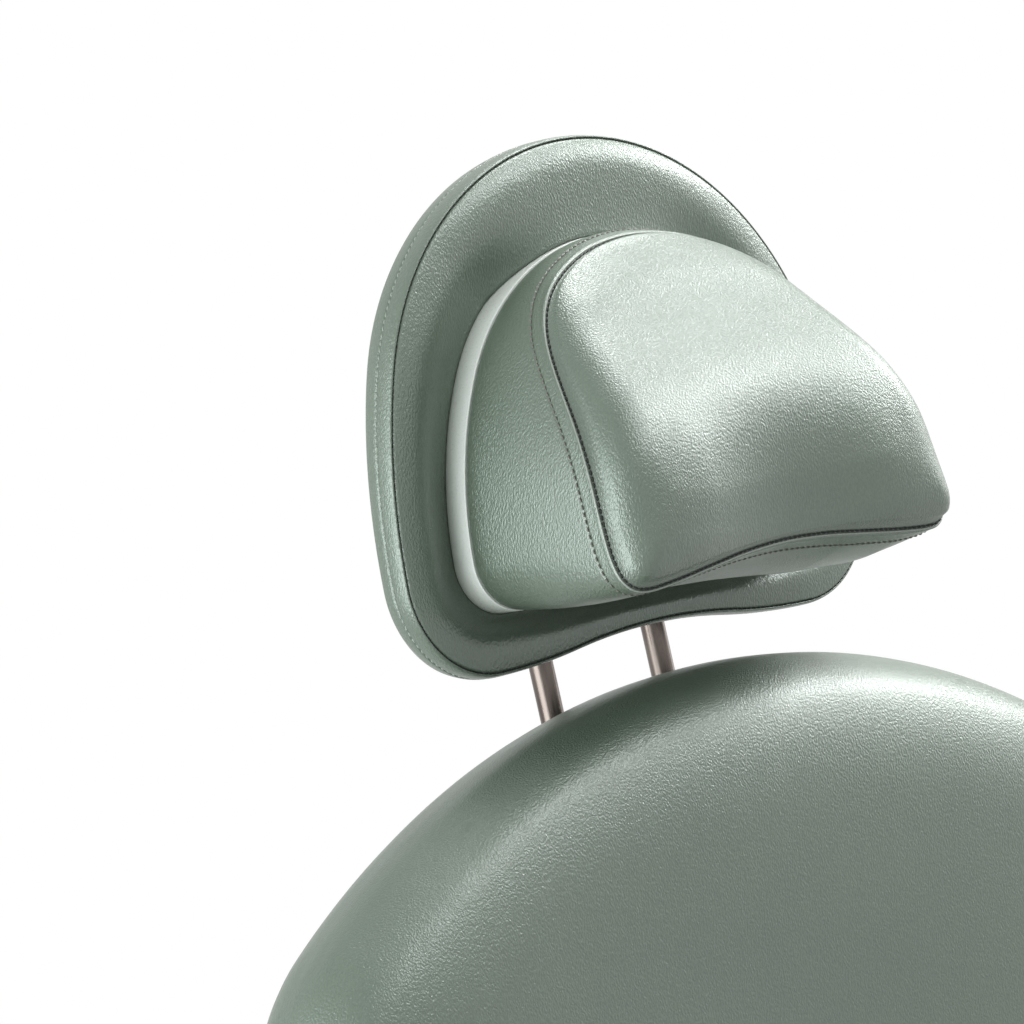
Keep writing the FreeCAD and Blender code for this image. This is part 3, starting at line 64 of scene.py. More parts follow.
# Lamps stand round a spot near the headrest
LAMP_TARGET = (0.0, 0.25, 1.2)
LAMP_REACH = 2.7


class Place:
    """Local frame: X across, Y up the piece and Z out of its front."""

    def __init__(self, origin, turn):
        angle = math.radians(turn)
        self.origin = np.array(origin, float)
        self.across = np.array((1.0, 0.0, 0.0))
        self.up = np.array((0.0, math.cos(angle), math.sin(angle)))
        self.out = np.array((0.0, -math.sin(angle), math.cos(angle)))

    def turned(self, directions):
        d = np.asarray(directions, float)
        return d[..., :1] * self.across + d[..., 1:2] * self.up + d[..., 2:3] * self.out

    def world(self, points):
        return self.origin + self.turned(points)


SEAT = Place((0.0, 0.0, 0.0), 0.0)
BACK = Place(BACK_ORIGIN, 90.0 - BACK_LEAN)
LEG = Place(LEG_ORIGIN, LEG_ANGLE)
HEAD = Place((0.0, 0.0, 0.0), 90.0 - HEAD_LEAN)
HEAD.origin = BACK.world(PIVOT_IN_BACK) - HEAD.turned(PIVOT_IN_HEAD)


# Outlines

def arc(cx, cy, radius, start, end, count=60):
    turn = np.radians(np.linspace(start, end, count))
    return np.column_stack([cx + radius * np.cos(turn), cy + radius * np.sin(turn)])


def whole(right):
    """Closed outline from its right half, bottom centre to top centre."""
    left = right[::-1] * (-1.0, 1.0)
    return np.vstack([right, left[1:-1]])


def resampled(points, count):
    """Closed outline with evenly spaced points."""
    closed = np.vstack([points, points[:1]])
    steps = np.linalg.norm(np.diff(closed, axis=0), axis=1)
    keep = np.concatenate([[True], steps > 1e-6])
    closed = closed[keep]
    along = np.concatenate([[0.0], np.cumsum(np.linalg.norm(np.diff(closed, axis=0), axis=1))])
    wanted = np.linspace(0.0, along[-1], count, endpoint=False)
    return np.column_stack([np.interp(wanted, along, closed[:, k]) for k in range(closed.shape[1])])


def smooth_curve(spots, per_span=24):
    """Closed Catmull-Rom curve through given spots."""
    p = np.asarray(spots, float)
    before, after, later = np.roll(p, 1, 0), np.roll(p, -1, 0), np.roll(p, -2, 0)
    t = np.linspace(0.0, 1.0, per_span, endpoint=False)[None, :, None]
    a, b, c, d = before[:, None], p[:, None], after[:, None], later[:, None]
    curve = 0.5 * (2 * b + (c - a) * t + (2 * a - 5 * b + 4 * c - d) * t ** 2
                   + (3 * b - a - 3 * c + d) * t ** 3)
    return curve.reshape(-1, 2)


class Outline:
    """Even closed outline, counter-clockwise from its bottom centre, with outward normals."""

    def __init__(self, points, count):
        self.points = resampled(points, count)
        tangent = np.roll(self.points, -1, 0) - np.roll(self.points, 1, 0)
        tangent /= np.linalg.norm(tangent, axis=1)[:, None]
        self.normals = np.column_stack([tangent[:, 1], -tangent[:, 0]])

    def inset(self, depth):
        return self.points - self.normals * np.reshape(depth, (-1, 1))

    def depth(self, spots):
        """Soft distance of each spot from the outline: true beside a straight side, round at corners."""
        step = np.linalg.norm(self.points[1] - self.points[0])
        found = np.empty(len(spots))
        for start in range(0, len(spots), 2000):
            part = spots[start:start + 2000]
            gaps = np.sum((part[:, None, :] - self.points[None]) ** 2, axis=2) + 1e-6
            found[start:start + 2000] = (np.sum(gaps ** -2.0, axis=1) * step * 2 / math.pi) ** (-1 / 3)
        return found


def at_angles(outline, centre, angles):
    """Points of an outline at polar angles about a centre."""
    offset = outline.points - centre
    own = np.unwrap(np.arctan2(offset[:, 1], offset[:, 0]))
    own = own - 2 * math.pi * round((own[0] + math.pi / 2) / (2 * math.pi))
    wide = np.concatenate([own - 2 * math.pi, own, own + 2 * math.pi])
    return np.column_stack([np.interp(angles, wide, np.tile(outline.points[:, k], 3)) for k in (0, 1)])


def polar_angles(points, centre):
    offset = points - centre
    own = np.unwrap(np.arctan2(offset[:, 1], offset[:, 0]))
    return own - 2 * math.pi * round((own[0] + math.pi / 2) / (2 * math.pi))


def smoothstep(value):
    t = np.clip(value, 0.0, 1.0)
    return t * t * (3 - 2 * t)


def arch_half(half_width, side_arc, top, bottom, corner, rise):
    """Right half of the headrest's arch: round top, bowed side, round corner, raised base."""
    corner_x, corner_y = half_width - corner, bottom + corner
    side_x = half_width - side_arc
    height = top - corner_y
    top_arc = (side_arc ** 2 - side_x ** 2 - height ** 2) / (2 * (side_arc - height))
    top_y = top - top_arc
    join = math.degrees(math.atan2(top_y - corner_y, -side_x))
    runs = []
    if rise:
        sweep = (corner_x ** 2 + rise ** 2) / (4 * rise)
        turn = math.degrees(math.asin(corner_x / 2 / sweep))
        runs.append(arc(0, bottom + rise - sweep, sweep, 90, 90 - turn))
        runs.append(arc(corner_x, bottom + sweep, sweep, -90 - turn, -90))
    else:
        runs.append(np.array([(0.0, bottom), (corner_x, bottom)]))
    runs.append(arc(corner_x, corner_y, corner, -90, 0))
    runs.append(arc(side_x, corner_y, side_arc, 0, join))
    runs.append(arc(0, top_y, top_arc, join, 90))
    return np.vstack(runs)


def back_half():
    """Right half of the backrest: straight bottom, waisted side, round shoulder, arched top."""
    length, half, top_arc, shoulder = 773.0, 346.0, 505.0, 120.0
    half_bottom, start, corner = 285.0, 35.0, 60.0
    centre_y = length - top_arc
    lean = math.degrees(math.asin((half - shoulder) / (top_arc - shoulder)))
    shoulder_x = half - shoulder
    shoulder_y = centre_y + (top_arc - shoulder) * math.cos(math.radians(lean))
    drop, draw = shoulder_y - start, half - half_bottom
    side_arc = (draw ** 2 + drop ** 2) / (2 * draw)
    side_x = half - side_arc
    corner_y = start + corner
    corner_x = side_x + math.sqrt((side_arc - corner) ** 2 - (shoulder_y - corner_y) ** 2)
    turn = math.degrees(math.atan2(corner_y - shoulder_y, corner_x - side_x))
    return np.vstack([np.array([(0.0, start), (corner_x, start)]),
                      arc(corner_x, corner_y, corner, -90, turn),
                      arc(side_x, shoulder_y, side_arc, turn, 0),
                      arc(shoulder_x, shoulder_y, shoulder, 0, 90 - lean),
                      arc(0, centre_y, top_arc, 90 - lean, 90)])


def rounded_half(half_bottom, half_top, bottom, top, bottom_corner, top_corner):
    """Right half of a trapezium with round corners."""
    slope = math.atan2(half_top - half_bottom, top - bottom)
    side = np.array((math.sin(slope), math.cos(slope)))
    normal = np.array((side[1], -side[0]))
    runs = [np.array([(0.0, bottom)])]
    foot = np.array((half_bottom, bottom))
    for corner, y, start, end in ((bottom_corner, bottom + bottom_corner, -90, -math.degrees(slope)),
                                  (top_corner, top - top_corner, -math.degrees(slope), 90)):
        on_side = foot + side * (y - bottom) / side[1]
        centre_x = on_side[0] - corner / normal[0]
        runs.append(arc(centre_x, y, corner, start, end))
    runs.append(np.array([(0.0, top)]))
    return np.vstack(runs)


def drawn_in(points, draw, bow=0.0):
    """Pull the sides in between the corners, and bow the low end out."""
    low, high = points[:, 1].min(), points[:, 1].max()
    share = (2 * points[:, 1] - low - high) / (high - low)
    half = np.abs(points[:, 0]).max()
    x = points[:, 0] - np.sign(points[:, 0]) * draw * (1 - share ** 2) * (np.abs(points[:, 0]) / half)
    y = points[:, 1] - bow * (1 - (points[:, 0] / half) ** 2) * (1 - share) / 2
    return np.column_stack([x, y])


# Meshes

def new_object(name, vertices, faces, body, material):
    mesh = bpy.data.meshes.new(name)
    mesh.from_pydata((np.asarray(vertices) * 0.001).tolist(), [], faces)
    mesh.update()
    build = bmesh.new()
    build.from_mesh(mesh)
    bmesh.ops.recalc_face_normals(build, faces=build.faces)
    build.to_mesh(mesh)
    build.free()
    mesh.polygons.foreach_set("use_smooth", [True] * len(mesh.polygons))
    mesh.materials.append(material)
    piece = bpy.data.objects.new(name, mesh)
    bpy.context.scene.collection.objects.link(piece)
    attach(piece, body)
    return piece


def ring_faces(rings, count):
    """Quads between closed rings, and a fan to a middle point at each end."""
    faces = []
    step = np.arange(count)
    after = (step + 1) % count
    for ring in range(rings - 1):
        low, high = ring * count, (ring + 1) * count
        faces += np.column_stack([low + step, low + after, high + after, high + step]).tolist()
    last, total = (rings - 1) * count, rings * count
    faces += np.column_stack([after, step, np.full(count, total)]).tolist()
    faces += np.column_stack([last + step, last + after, np.full(count, total + 1)]).tolist()
    return faces


def skin(name, rings, body, material):
    stack = np.stack(rings)
    ends = np.stack([stack[0].mean(0), stack[-1].mean(0)])
    vertices = np.vstack([stack.reshape(-1, 3), ends])
    return new_object(name, vertices, ring_faces(len(rings), stack.shape[1]), body, material)


def flat_ring(points, height):
    return np.column_stack([points, np.broadcast_to(height, len(points))])


def ring_lengths(path):
    closed = np.vstack([path, path[:1]])
    return np.concatenate([[0.0], np.cumsum(np.linalg.norm(np.diff(closed, axis=0), axis=1))])


def along_ring(path, lengths, places):
    closed = np.vstack([path, path[:1]])
    wrapped = np.mod(places, lengths[-1])
    return np.stack([np.interp(wrapped, lengths, closed[:, k]) for k in range(3)], axis=-1)


def unit(vectors):
    return vectors / np.linalg.norm(vectors, axis=-1, keepdims=True)


def stitches(name, path, outward, pitch, length, radius, body, material):
    """Short raised threads along a closed seam."""
    lengths = ring_lengths(path)
    number = int(round(lengths[-1] / pitch))
    middle = np.arange(number) * lengths[-1] / number
    spread = np.array((-0.5, -0.34, 0.0, 0.34, 0.5)) * length
    lift = np.array((-0.9, 0.35, 0.75, 0.35, -0.9)) * radius
    girth = np.array((0.4, 0.9, 1.0, 0.9, 0.4)) * radius
    places = middle[:, None] + spread[None]
    spots = along_ring(path, lengths, places)
    up = unit(along_ring(outward, lengths, places))
    forward = unit(along_ring(path, lengths, places + 0.4) - along_ring(path, lengths, places - 0.4))
    side = unit(np.cross(forward, up))
    spots = spots + up * lift[None, :, None]
    sides = 6
    turn = np.arange(sides) * 2 * math.pi / sides
    ring = (side[:, :, None] * np.cos(turn)[:, None] + up[:, :, None] * np.sin(turn)[:, None])
    vertices = spots[:, :, None] + ring * girth[None, :, None, None]
    faces = []
    per = len(spread) * sides
    for index in range(number):
        for row in range(len(spread) - 1):
            low = index * per + row * sides
            for k in range(sides):
                j = (k + 1) % sides
                faces.append((low + k, low + j, low + sides + j, low + sides + k))
        faces.append([index * per + k for k in reversed(range(sides))])
        faces.append([index * per + per - sides + k for k in range(sides)])
    new_object(name, vertices.reshape(-1, 3), faces, body, material)


def welt(name, path, outward, radius, body, material):
    """Thin closed roll that follows a seam."""
    forward = unit(np.roll(path, -1, 0) - np.roll(path, 1, 0))
    side = unit(np.cross(forward, outward))
    up = np.cross(side, forward)
    sides = 8
    turn = np.arange(sides) * 2 * math.pi / sides
    ring = side[:, None] * np.cos(turn)[:, None] + up[:, None] * np.sin(turn)[:, None]
    vertices = (path[:, None] + ring * radius).reshape(-1, 3)
    count = len(path)
    faces = []
    for index in range(count):
        nxt = (index + 1) % count
        for k in range(sides):
            j = (k + 1) % sides
            faces.append((index * sides + k, index * sides + j, nxt * sides + j, nxt * sides + k))
    new_object(name, vertices, faces, body, material)


# Materials

def new_material(name):
    material = bpy.data.materials.new(name)
    material.use_nodes = True
    tree = material.node_tree
    return material, tree, tree.nodes["Principled BSDF"]


def object_coordinates(tree, stretch=None):
    place = tree.nodes.new("ShaderNodeTexCoord").outputs["Object"]
    if stretch is None:
        return place
    mapping = tree.nodes.new("ShaderNodeMapping")
    mapping.inputs["Scale"].default_value = stretch
    tree.links.new(place, mapping.inputs["Vector"])
    return mapping.outputs["Vector"]


def noise(tree, place, scale, detail=2.0, roughness=0.5):
    node = tree.nodes.new("ShaderNodeTexNoise")
    node.inputs["Scale"].default_value = scale
    node.inputs["Detail"].default_value = detail
    node.inputs["Roughness"].default_value = roughness
    tree.links.new(place, node.inputs["Vector"])
    return node.outputs["Fac"]


def cells(tree, place, scale, feature):
    node = tree.nodes.new("ShaderNodeTexVoronoi")
    node.feature = feature
    node.inputs["Scale"].default_value = scale
    tree.links.new(place, node.inputs["Vector"])
    return node.outputs["Distance"]


def ranged(tree, value, low, high, to_low, to_high):
    node = tree.nodes.new("ShaderNodeMapRange")
    for socket, number in (("From Min", low), ("From Max", high), ("To Min", to_low), ("To Max", to_high)):
        node.inputs[socket].default_value = number
    tree.links.new(value, node.inputs["Value"])
    return node.outputs["Result"]


def maths(tree, operation, first, second):
    node = tree.nodes.new("ShaderNodeMath")
    node.operation = operation
    for socket, value in zip(node.inputs, (first, second)):
        if isinstance(value, (int, float)):
            socket.default_value = value
        else:
            tree.links.new(value, socket)
    return node.outputs[0]


def ramp(tree, value, stops):
    node = tree.nodes.new("ShaderNodeValToRGB")
    elements = node.color_ramp.elements
    while len(elements) < len(stops):
        elements.new(0.5)
    for element, (position, colour) in zip(elements, stops):
        element.position = position
        element.color = (*colour, 1.0)
    tree.links.new(value, node.inputs["Fac"])
    return node.outputs["Color"]


def shaded(tree, colour, value, low):
    """Colour times a grey that runs from low to one."""
    node = tree.nodes.new("ShaderNodeMix")
    node.data_type = "RGBA"
    node.blend_type = "MULTIPLY"
    node.inputs["Factor"].default_value = 1.0
    tree.links.new(colour, node.inputs[6])
    tree.links.new(ranged(tree, value, 0.0, 1.0, low, 1.0), node.inputs[7])
    return node.outputs[2]


def bump(tree, shader, height, strength, distance):
    node = tree.nodes.new("ShaderNodeBump")
    node.inputs["Strength"].default_value = strength
    node.inputs["Distance"].default_value = distance
    tree.links.new(height, node.inputs["Height"])
    tree.links.new(node.outputs["Normal"], shader.inputs["Normal"])


def leather(name, dark, light, strength):
    """Satin leatherette with a fine rippled grain that runs a little upright."""
    material, tree, shader = new_material(name)
    place = object_coordinates(tree)
    drawn = object_coordinates(tree, (1.0, 1.0, 0.5))
    ripples = ranged(tree, noise(tree, drawn, 920.0, 1.0, 0.4), 0.3, 0.7, 0.0, 1.0)
    pebbles = ranged(tree, cells(tree, drawn, 820.0, "DISTANCE_TO_EDGE"), 0.0, 0.3, 0.0, 1.0)
    height = maths(tree, "ADD", maths(tree, "MULTIPLY", ripples, 0.7), maths(tree, "MULTIPLY", pebbles, 0.3))
    tone = ramp(tree, noise(tree, place, 7.0, 3.0), ((0.3, dark), (0.7, light)))
    # The base colour darkens towards the grain's low places: painted shade in the grain's valleys.
    tree.links.new(shaded(tree, tone, height, 0.74), shader.inputs["Base Color"])
    tree.links.new(ranged(tree, noise(tree, place, 60.0, 4.0), 0.3, 0.7, 0.34, 0.40),
                   shader.inputs["Roughness"])
    shader.inputs["IOR"].default_value = 1.6
    shader.inputs["Specular IOR Level"].default_value = 1.0
    shader.inputs["Specular Tint"].default_value = (0.90, 1.0, 0.95, 1.0)
    shader.inputs["Coat Weight"].default_value = 0.1
    shader.inputs["Coat Roughness"].default_value = 0.28
    bump(tree, shader, height, strength, 0.00024)
    return material


def thread(name, colour):
    """Twisted sewing thread."""
    material, tree, shader = new_material(name)
    place = object_coordinates(tree)
    twist = noise(tree, place, 2200.0, 1.0)
    tone = ramp(tree, twist, ((0.3, tuple(c * 0.7 for c in colour)), (0.7, colour)))
    tree.links.new(tone, shader.inputs["Base Color"])
    shader.inputs["Roughness"].default_value = 0.6
    bump(tree, shader, twist, 0.4, 0.0002)
    return material


def moulded(name, dark, light, roughness, grain, strength):
    """Moulded plastic with a fine surface texture."""
    material, tree, shader = new_material(name)
    place = object_coordinates(tree)
    tone = ramp(tree, noise(tree, place, 5.0, 3.0), ((0.3, dark), (0.7, light)))
    tree.links.new(tone, shader.inputs["Base Color"])
    texture = noise(tree, place, grain, 2.0)
    tree.links.new(ranged(tree, texture, 0.3, 0.7, roughness - 0.05, roughness + 0.05),
                   shader.inputs["Roughness"])
    bump(tree, shader, texture, strength, 0.0003)
    return material


def painted(name, dark, light, roughness):
    """Powder coat with orange peel."""
    material, tree, shader = new_material(name)
    place = object_coordinates(tree)
    tone = ramp(tree, noise(tree, place, 6.0, 3.0), ((0.3, dark), (0.7, light)))
    tree.links.new(tone, shader.inputs["Base Color"])
    peel = noise(tree, place, 520.0, 2.0)
    tree.links.new(ranged(tree, peel, 0.3, 0.7, roughness - 0.06, roughness + 0.06),
                   shader.inputs["Roughness"])
    bump(tree, shader, peel, 0.25, 0.0004)
    return material


def brushed(name, dark, light, roughness, stretch):
    """Metal with fine brush lines along one direction."""
    material, tree, shader = new_material(name)
    lines = noise(tree, object_coordinates(tree, stretch), 900.0, 3.0, 0.6)
    tone = ramp(tree, lines, ((0.3, dark), (0.7, light)))
    tree.links.new(tone, shader.inputs["Base Color"])
    tree.links.new(ranged(tree, lines, 0.3, 0.7, roughness - 0.06, roughness + 0.08),
                   shader.inputs["Roughness"])
    shader.inputs["Metallic"].default_value = 1.0
    bump(tree, shader, lines, 0.12, 0.0002)
    return material


def plywood(name):
    """Thin veneers in level layers with a streaked grain."""
    material, tree, shader = new_material(name)
    grain = noise(tree, object_coordinates(tree, (0.06, 1.0, 1.0)), 160.0, 5.0, 0.6)
    layers = noise(tree, object_coordinates(tree, (0.02, 0.02, 1.0)), 420.0, 1.0)
    both = maths(tree, "ADD", maths(tree, "MULTIPLY", grain, 0.6), maths(tree, "MULTIPLY", layers, 0.4))
    tone = ramp(tree, both, ((0.35, (0.30, 0.19, 0.10)), (0.65, (0.50, 0.36, 0.22))))
    tree.links.new(tone, shader.inputs["Base Color"])
    shader.inputs["Roughness"].default_value = 0.65
    bump(tree, shader, grain, 0.2, 0.0005)
    return material


def chair_materials():
    return {
        "sage_leather": leather("sage_leather", (0.104, 0.141, 0.102), (0.124, 0.164, 0.120), 0.9),
        "cream_plastic": moulded("cream_plastic", (0.66, 0.68, 0.62), (0.70, 0.72, 0.66), 0.34, 900.0, 0.10),
        "bronze_metal": brushed("bronze_metal", (0.12, 0.10, 0.09), (0.18, 0.155, 0.14), 0.30,
                                (1.0, 0.05, 0.05)),
        "trim_plastic": moulded("trim_plastic", (0.90, 0.94, 0.89), (0.93, 0.97, 0.92), 0.30, 900.0, 0.06),
        "cream_paint": painted("cream_paint", (0.70, 0.71, 0.65), (0.75, 0.76, 0.70), 0.45),
        "frame_steel": painted("frame_steel", (0.022, 0.024, 0.026), (0.032, 0.034, 0.036), 0.50),
        "zinc_steel": brushed("zinc_steel", (0.52, 0.53, 0.55), (0.66, 0.67, 0.68), 0.30, (1.0, 1.0, 0.05)),
        "black_plastic": moulded("black_plastic", (0.012, 0.012, 0.013), (0.018, 0.018, 0.020), 0.48,
                                 1400.0, 0.25),
        "plywood": plywood("plywood"),
        "button_rubber": moulded("button_rubber", (0.030, 0.034, 0.032), (0.042, 0.047, 0.044), 0.70,
                                 1600.0, 0.3),
        "pale_thread": thread("pale_thread", (0.42, 0.47, 0.42)),
        "taupe_thread": thread("taupe_thread", (0.20, 0.19, 0.17)),
        # Near-black seam thread: real stitches, whose black also stands in for painted shade in the seam
        # grooves.
        "seam_thread_and_groove_shade": thread("seam_thread_and_groove_shade", (0.012, 0.015, 0.013)),
        # Lighter leather for the thin roll along the head cushion's face seam: painted highlight on the
        # seam's rolled edge.
        "edge_highlight_leather": leather("edge_highlight_leather", (0.34, 0.38, 0.33), (0.40, 0.44, 0.39), 0.2),
    }


MATERIAL = chair_materials()

for row in frame["record"]["subparts"]:
    node = frame["nodes"][row["node"]]
    node.data.materials.clear()
    finish = "trim_plastic" if row["node"] == "headrest_trim_plate" else row["material_slot"]
    node.data.materials.append(MATERIAL[finish])


def cushion(name, rings, place, body, node):
    """Upholstered piece that stands for a soft solid."""
    piece = skin(name, [place.world(ring) for ring in rings], body, MATERIAL["sage_leather"])
    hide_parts(node)


# Headrest panel

panel = Outline(whole(arch_half(176.0, 346.0, 274.0, -7.0, 55.0, 9.0)), 920)
trim = Outline(whole(arch_half(133.5, 207.0, 218.0, 24.0, 30.0, 0.0)), 600)
HEAD_CENTRE = np.array((0.0, 108.0))

# Sewing on the headrest: pitch of the raised topstitch and of the seam, and length of one stitch
TOPSTITCH_PITCH = 4.1
SEAM_PITCH = 3.6
STITCH_LENGTH = 3.0


def lip_drop(inset, height):
    """How far the rim leans back at the top of the panel, more at its rear lip."""
    return 0.0 if inset > 10 else 2.6 - 0.22 * height


def headrest_panel():
    angles = polar_angles(panel.points, HEAD_CENTRE)
    pocket = at_angles(trim, HEAD_CENTRE, angles)
    pocket = pocket + 0.4 * unit(pocket - HEAD_CENTRE)
    span = np.linalg.norm(panel.points - pocket, axis=1)
    boxing = ((14.0, -22.2), (5.0, -22.2), (2.2, -22.0), (0.6, -21.2), (-0.5, -19.6), (-1.2, -17.0),
              (-1.7, -14.2), (-1.9, -12.2), (-1.8, -11.7), (-0.9, -11.0), (-1.8, -10.3), (-1.9, -9.4),
              (-1.9, -6.8), (-1.7, -4.6), (-1.3, -2.8), (-0.8, -1.3), (-0.3, -0.8), (0.2, -1.2), (0.5, -2.7),
              (0.8, -1.6), (1.3, -0.4))
    lean = smoothstep((panel.points[:, 1] - 20.0) / 230.0)
    high_up = smoothstep((pocket[:, 1] - 188.0) / 30.0)
    fullness = 2.0 + 3.2 * high_up
    dish = fullness + 8.7 - 12.2 * high_up
    rings = [flat_ring(panel.inset(inset), height - lean * lip_drop(inset, height))
             for inset, height in boxing]
    for share in (0.02, 0.05, 0.09, 0.14, 0.2, 0.27, 0.34, 0.42, 0.5, 0.58, 0.66, 0.74, 0.82, 0.9, 0.96, 1.0):
        depth = 1.3 + share * (span - 1.3)
        crest = fullness * (1 - (1 - np.clip((depth - 1.3) / 15.0, 0, 1)) ** 2)
        height = -0.4 - 2.6 * lean * (1 - share) + crest - dish * smoothstep((share - 0.30) / 0.70)
        weight = smoothstep((share - 0.25) / 0.75)[..., None]
        near = panel.inset(depth)
        far = panel.points + (pocket - panel.points) * (depth / span)[:, None]
        rings.append(np.column_stack([near * (1 - weight) + far * weight, height]))
    rings.append(flat_ring(pocket, -11.0))
    inner = pocket + (HEAD_CENTRE - pocket) * 0.02
    rings.append(flat_ring(inner, -12.3))
    rings.append(flat_ring(pocket + (HEAD_CENTRE - pocket) * 0.9, -12.4))
    cushion("headrest_panel_cover", rings, HEAD, "headrest", "headrest_panel_pad")
    outward = HEAD.turned(np.column_stack([panel.normals, np.zeros(len(panel.normals))]))
    facing = HEAD.turned(np.column_stack([panel.normals * 0.35, np.full(len(panel.normals), 0.94)]))
    boxing_seam = HEAD.world(flat_ring(panel.inset(-1.1), -11.0 - lean * lip_drop(0, -11.0)))
    stitches("headrest_panel_topstitch", boxing_seam, outward, TOPSTITCH_PITCH, STITCH_LENGTH, 0.55,
             "headrest", MATERIAL["pale_thread"])
    front_seam = HEAD.world(flat_ring(panel.inset(0.5), -1.9 - lean * lip_drop(0, -1.9)))
    # The seam's near-black stitches are real stitches and also paint the shade of its groove.
    stitches("headrest_panel_seam_stitch", front_seam, facing, SEAM_PITCH, STITCH_LENGTH, 0.62,
             "headrest", MATERIAL["seam_thread_and_groove_shade"])


# Head cushion

SEAM_SPOTS = ((0, 35), (30, 33.6), (56, 30.6), (85, 27), (108, 25.2), (119, 27.2), (124.6, 34), (125.8, 45),
              (124.8, 60), (122.4, 80), (118.3, 101), (111.5, 124), (103.2, 147), (94.7, 166.4),
              (85, 181.4), (71.8, 193.4), (52.8, 203.8), (30, 211.2), (0, 214.4))
WEDGE_FOOT, WEDGE_SLOPE = 123.0, 0.42
WEDGE_BOW, BOW_LOW, BOW_TOP = 10.5, 27.0, 175.0
FOOT_LEVEL = 6.2
TOPSTITCH_REACH = 9.5
GUSSET_REACH = 13.5


def seam_outline():
    right = np.array(SEAM_SPOTS, float)
    return Outline(smooth_curve(whole(right)), 800)


def seam_level(points):
    share = np.clip((points[:, 1] - BOW_LOW) / (BOW_TOP - BOW_LOW), 0.0, 1.0)
    return WEDGE_FOOT - WEDGE_SLOPE * points[:, 1] + WEDGE_BOW * np.sin(math.pi * share) ** 2


def face_swell(seam, spots):
    """How far the face stands out of its seam plane: two lobes, a valley and a rolled edge."""
    x, v = np.abs(spots[:, 0]), spots[:, 1]
    depth = seam.depth(spots)
    roll = 36.0 - 11.0 * smoothstep((v - 40) / 50) + 14.0 * smoothstep((v - 172) / 35)
    edge = np.sqrt(1 - (1 - np.clip(depth / roll, 0, 1)) ** 2)
    half = np.interp(v, (25, 45, 80, 101, 124, 147, 183, 207, 218),
                     (110, 126, 122, 118, 111, 103, 85, 53, 30))
    lobe = 27.0 - 15.5 * smoothstep((v - 105) / 105)
    lobe = lobe + 3.5 * (1 - smoothstep((v - 60) / 60)) * (1 - smoothstep((x - 60) / 45))
    dip = 22.0 * (1 - smoothstep((v - 12) / 122))
    ridge = 0.5 - 0.5 * np.cos(math.pi * np.clip(x / (0.82 * half), 0, 1))
    return edge * (lobe - dip * (1 - ridge))


def head_cushion():
    seam = seam_outline()
    angles = polar_angles(seam.points, HEAD_CENTRE)
    foot_flat = at_angles(trim, HEAD_CENTRE, angles)
    inward = unit(HEAD_CENTRE - foot_flat)
    edge = np.column_stack([seam.points, seam_level(seam.points)])
    foot = np.column_stack([foot_flat + inward * 0.6, np.full(len(foot_flat), FOOT_LEVEL + 1.8)])
    outward = np.column_stack([seam.normals, np.zeros(len(seam.normals))])
    length = np.linalg.norm(edge - foot, axis=1)
    back = unit(foot - edge)
    rings = [flat_ring(foot_flat + inward * 60.0, FOOT_LEVEL),
             flat_ring(foot_flat + inward * 6.0, FOOT_LEVEL),
             flat_ring(foot_flat + inward * 2.2, FOOT_LEVEL + 0.1),
             flat_ring(foot_flat + inward * 1.0, FOOT_LEVEL + 0.8)]
    near_seam = ((GUSSET_REACH, 0.0), (11.2, 0.0), (10.2, 0.0), (TOPSTITCH_REACH, -0.55), (8.8, 0.0),
                 (7.6, 0.12), (5.0, 0.15), (3.2, 0.2), (2.0, 0.45), (1.2, 0.6), (0.5, 0.3))
    sag = np.interp(seam.points[:, 0], (-118, -60, 0, 50, 90, 114, 124), (0, 3, 7, 11, 10, 4, 0))
    belly = 2.2 + sag * np.clip(-seam.normals[:, 1], 0, 1) ** 3
    for share in np.linspace(1.0, 0.0, 18)[:-1]:
        reach = GUSSET_REACH + share * (length - GUSSET_REACH)
        bulge = belly * np.sin(math.pi * (1 - reach / length)) ** 0.75
        rings.append(edge + back * reach[:, None] + outward * bulge[:, None])
    topstitch = None
    for reach, lift in near_seam:
        bulge = belly * np.sin(math.pi * (1 - reach / length)) ** 0.75 + lift
        rings.append(edge + back * reach + outward * bulge[:, None])
        if reach == TOPSTITCH_REACH:
            topstitch = edge + back * reach + outward * (bulge + 0.35)[:, None]
    rings.append(edge - outward * 1.9 + back * 0.6)
    plane_lift = np.array((0.0, WEDGE_SLOPE, 1.0)) / math.hypot(WEDGE_SLOPE, 1.0)
    for depth in (2.2, 3.0, 4.2, 6.0):
        flat = seam.inset(depth)
        rings.append(np.column_stack([flat, seam_level(flat)]) + face_swell(seam, flat)[:, None] * plane_lift)
    start = seam.inset(6.0)
    for share in 1 - np.linspace(0.0, 1.0, 42)[1:-1] ** 1.2:
        flat = HEAD_CENTRE + (start - HEAD_CENTRE) * share
        rings.append(np.column_stack([flat, seam_level(flat)]) + face_swell(seam, flat)[:, None] * plane_lift)
    cushion("head_cushion_cover", rings, HEAD, "headrest", "head_cushion")
    out_world = HEAD.turned(outward)
    stitches("head_cushion_topstitch", HEAD.world(topstitch), out_world, TOPSTITCH_PITCH, STITCH_LENGTH,
             0.55, "headrest", MATERIAL["taupe_thread"])
    facing = HEAD.turned(unit(outward * 0.7 + plane_lift))
    # The seam's near-black stitches are real stitches and also paint the shade of its groove.
    stitches("head_cushion_seam_stitch", HEAD.world(edge - outward * 1.3), facing, SEAM_PITCH,
             STITCH_LENGTH, 0.5, "headrest", MATERIAL["seam_thread_and_groove_shade"])
    # The thin roll along the face seam takes the lighter leather, a painted highlight on the seam's rolled
    # edge.
    welt("head_cushion_welt", HEAD.world(edge - outward * 0.1 + back * 0.9),
         HEAD.turned(unit(outward + plane_lift)), 0.75, "headrest", MATERIAL["edge_highlight_leather"])


# Large pads: seat, backrest, legrest, foot extension and arms

